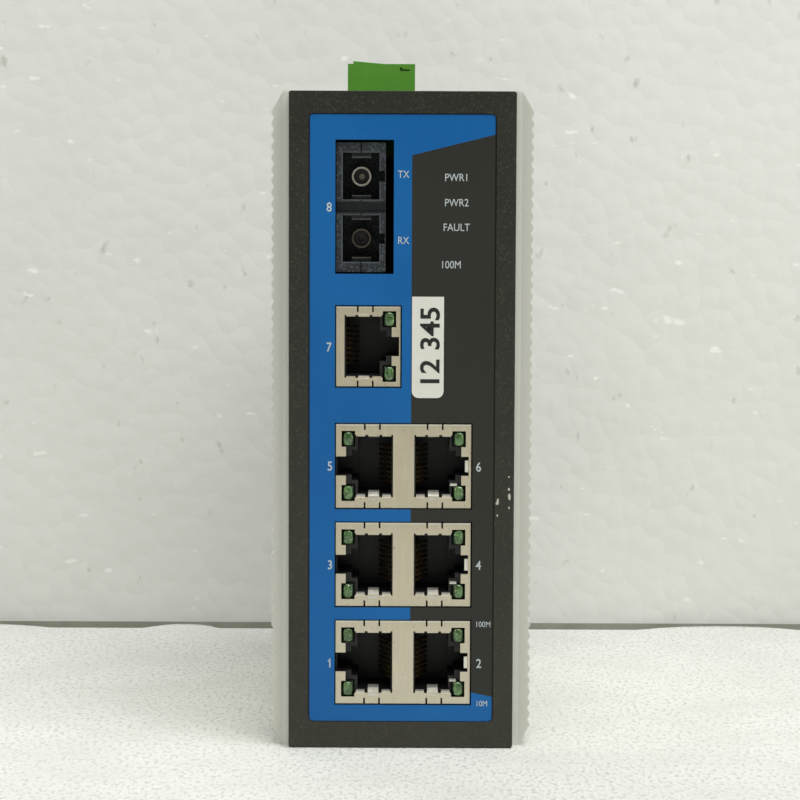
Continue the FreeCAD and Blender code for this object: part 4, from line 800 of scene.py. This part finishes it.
def open_behind(finish):
    """Make a sheet clear from its back, and clear to the light that falls on the switch."""
    path = finish.tree.nodes.new("ShaderNodeLightPath").outputs
    seen = finish.sum("MAXIMUM", path["Is Camera Ray"], path["Is Glossy Ray"])
    seen = finish.sum("MAXIMUM", seen, path["Is Transmission Ray"])
    behind = finish.tree.nodes.new("ShaderNodeNewGeometry").outputs["Backfacing"]
    mix = finish.tree.nodes.new("ShaderNodeMixShader")
    finish.feed(mix.inputs[0], finish.sum("MULTIPLY", seen, finish.sum("SUBTRACT", 1.0, behind)))
    finish.feed(mix.inputs[1], finish.tree.nodes.new("ShaderNodeBsdfTransparent").outputs[0])
    finish.feed(mix.inputs[2], finish.shader.outputs[0])
    finish.feed(finish.tree.nodes["Material Output"].inputs["Surface"], mix.outputs[0])


def foam_board():
    finish = Finish("foam_board", srgb(227, 228, 222), 0.7)
    beads = finish.tree.nodes.new("ShaderNodeTexVoronoi")
    beads.inputs["Scale"].default_value = 1 / (5 * MM)
    finish.feed(beads.inputs["Vector"], finish.place)
    finish.bump(finish.sum("SUBTRACT", 1.0, beads.outputs["Distance"]), 0.9 * MM, 0.28)
    finish.tint(finish.spread(finish.noise(60 * MM, 2.0), 0.4, 0.7, 0.0, 0.5), srgb(217, 218, 212))
    # Painted shade: darker pits between the beads.
    shaded_pits = finish.spread(finish.noise(4.5 * MM, 3.0, finish.stretched(1.0, 1.0, 0.7)), 0.67, 0.76)
    finish.tint(shaded_pits, srgb(196, 197, 189))
    # Painted highlights: bright glints on the rims of the beads.
    rim_glints = finish.spread(finish.noise(4 * MM, 3.0, finish.stretched(0.6, 1.0, 1.3)), 0.69, 0.73)
    finish.tint(rim_glints, srgb(243, 243, 238))
    open_behind(finish)
    return finish.material


def foam_sheet():
    finish = Finish("foam_sheet", srgb(246, 247, 240), 0.65)
    grain = finish.noise(0.9 * MM, 5.0, finish.stretched(1.0, 0.5, 1.0))
    finish.tint(finish.spread(grain, 0.5, 0.66, 0.0, 0.8), srgb(205, 206, 198))
    finish.tint(finish.spread(finish.noise(25 * MM), 0.4, 0.7, 0.0, 0.5), srgb(228, 229, 221))
    finish.bump(grain, 1.2 * MM, 0.6)
    return finish.material


# Painted shade: a dull grey sheet below the board stands for the shaded gap behind the floor
# sheet's sagging edge.
def gap_painted_shade():
    finish = Finish("gap_painted_shade", srgb(150, 152, 138), 0.8)
    finish.tint(finish.spread(finish.noise(8 * MM), 0.4, 0.7), srgb(162, 164, 150))
    open_behind(finish)
    return finish.material


def staged(shape, name, material):
    sheet = piece_from(shape, name, material, body=None, smooth=True)


def sag(x):
    """How far the floor sheet's back edge hangs down, from 0 where it touches the board to 1."""
    reach = max(1 - ((x / MM - place) / width) ** 2 for place, width in TOUCHES)
    return 1 - max(0.0, reach) ** 0.7


TOUCHES = ((-350, 200), (-120, 27), (-58, 10), (86, 22), (150, 30), (420, 230))
BOARD_Y = 0.0985
SHEET_END = 0.0955
ROWS = (
    (-1.4, 0, 0.0), (-0.2, 0, 0.0), (0.06, 0, 0.0), (SHEET_END - 0.009, 0, 0.0),
    (SHEET_END - 0.003, 0.6 * MM, 0.0), (SHEET_END, 1.3 * MM, 0.0), (SHEET_END, 1.3 * MM, 0.03),
)
FLOOR_STEP = 3 * MM
FLOOR_STEPS = 400
STAGE_SIDE = 1.2
STAGE_END = 1.4
REAR_DROP = 2 * MM
floor = bmesh.new()
rows = []
for y, hang, depth in ROWS:
    row = []
    for number in range(-FLOOR_STEPS, FLOOR_STEPS + 1):
        x = number * FLOOR_STEP
        row.append(floor.verts.new((x, y, -hang * sag(x) - depth)))
    rows.append(row)
for first, second in zip(rows, rows[1:]):
    for number in range(len(first) - 1):
        floor.faces.new((first[number], first[number + 1], second[number + 1], second[number]))
foam = foam_sheet()
staged(floor, "floor_sheet", foam)


def flat_sheet(corners):
    """A single face through its corners."""
    shape = bmesh.new()
    shape.faces.new([shape.verts.new(place) for place in corners])
    return shape


def upright(y, foot):
    """A face across the stage at a depth, from its foot up."""
    left, right = -STAGE_SIDE, STAGE_SIDE
    places = ((left, foot), (right, foot), (right, STAGE_END), (left, STAGE_END))
    return flat_sheet([(x, y, z) for x, z in places])


rear_start = BOARD_Y + 0.004
rear = (
    (-STAGE_SIDE, rear_start), (STAGE_SIDE, rear_start),
    (STAGE_SIDE, STAGE_END), (-STAGE_SIDE, STAGE_END),
)
staged(flat_sheet([(x, y, -REAR_DROP) for x, y in rear]), "rear_sheet", foam)
staged(upright(BOARD_Y, 0.1 * MM), "backdrop_board", foam_board())
staged(upright(BOARD_Y + 2 * MM, -0.03), "gap_shade_strip", gap_painted_shade())


# Light: one large soft box high in front, and weaker ones at both sides and behind
# A dim pale surround fills the shadows, so that colours show about as they are written.

def soft_box(name, place, target, width, power):
    light = bpy.data.lights.new(name, "AREA")
    light.shape = "SQUARE"
    light.size = width
    light.energy = power
    lamp = bpy.data.objects.new(name, light)
    lamp.location = place
    lamp.rotation_euler = (Vector(target) - Vector(place)).to_track_quat("-Z", "Y").to_euler()
    bpy.context.scene.collection.objects.link(lamp)


middle = (cad_low + cad_high) / 2
soft_box("key_light", (0.22, -0.38, 1.05), middle, 0.8, 10.5)
soft_box("right_fill", (0.8, -0.5, 0.35), middle, 0.6, 1.5)
soft_box("rear_fill", (-0.4, 0.95, 0.7), middle, 0.8, 2.5)
soft_box("left_fill", (-0.85, -0.5, 0.45), middle, 0.7, 1.8)
world = bpy.data.worlds.new("surround")
world.use_nodes = True
world.node_tree.nodes["Background"].inputs["Color"].default_value = srgb(236, 238, 232)
world.node_tree.nodes["Background"].inputs["Strength"].default_value = 0.24
bpy.context.scene.world = world
bpy.context.scene.view_settings.view_transform = "Standard"


# Camera: half a metre in front, a little below the top, looking slightly down
# Its long lens takes in a little more than the height of the switch.

CAMERA_DISTANCE = 0.5
CAMERA_HEIGHT = 0.1107
CAMERA_X = -0.0005
SENSOR = 36
PITCH = math.radians(4.41)
ROLL = math.radians(-0.23)
FIELD = 0.163

camera_data = bpy.data.cameras.new("camera")
camera_data.sensor_width = SENSOR
camera_data.lens = SENSOR * CAMERA_DISTANCE / FIELD
camera = bpy.data.objects.new("camera", camera_data)
camera.location = (CAMERA_X, cad_low.y - CAMERA_DISTANCE, CAMERA_HEIGHT)
camera.rotation_euler = (math.pi / 2 - PITCH, ROLL, 0)
bpy.context.scene.collection.objects.link(camera)
bpy.context.scene.camera = camera
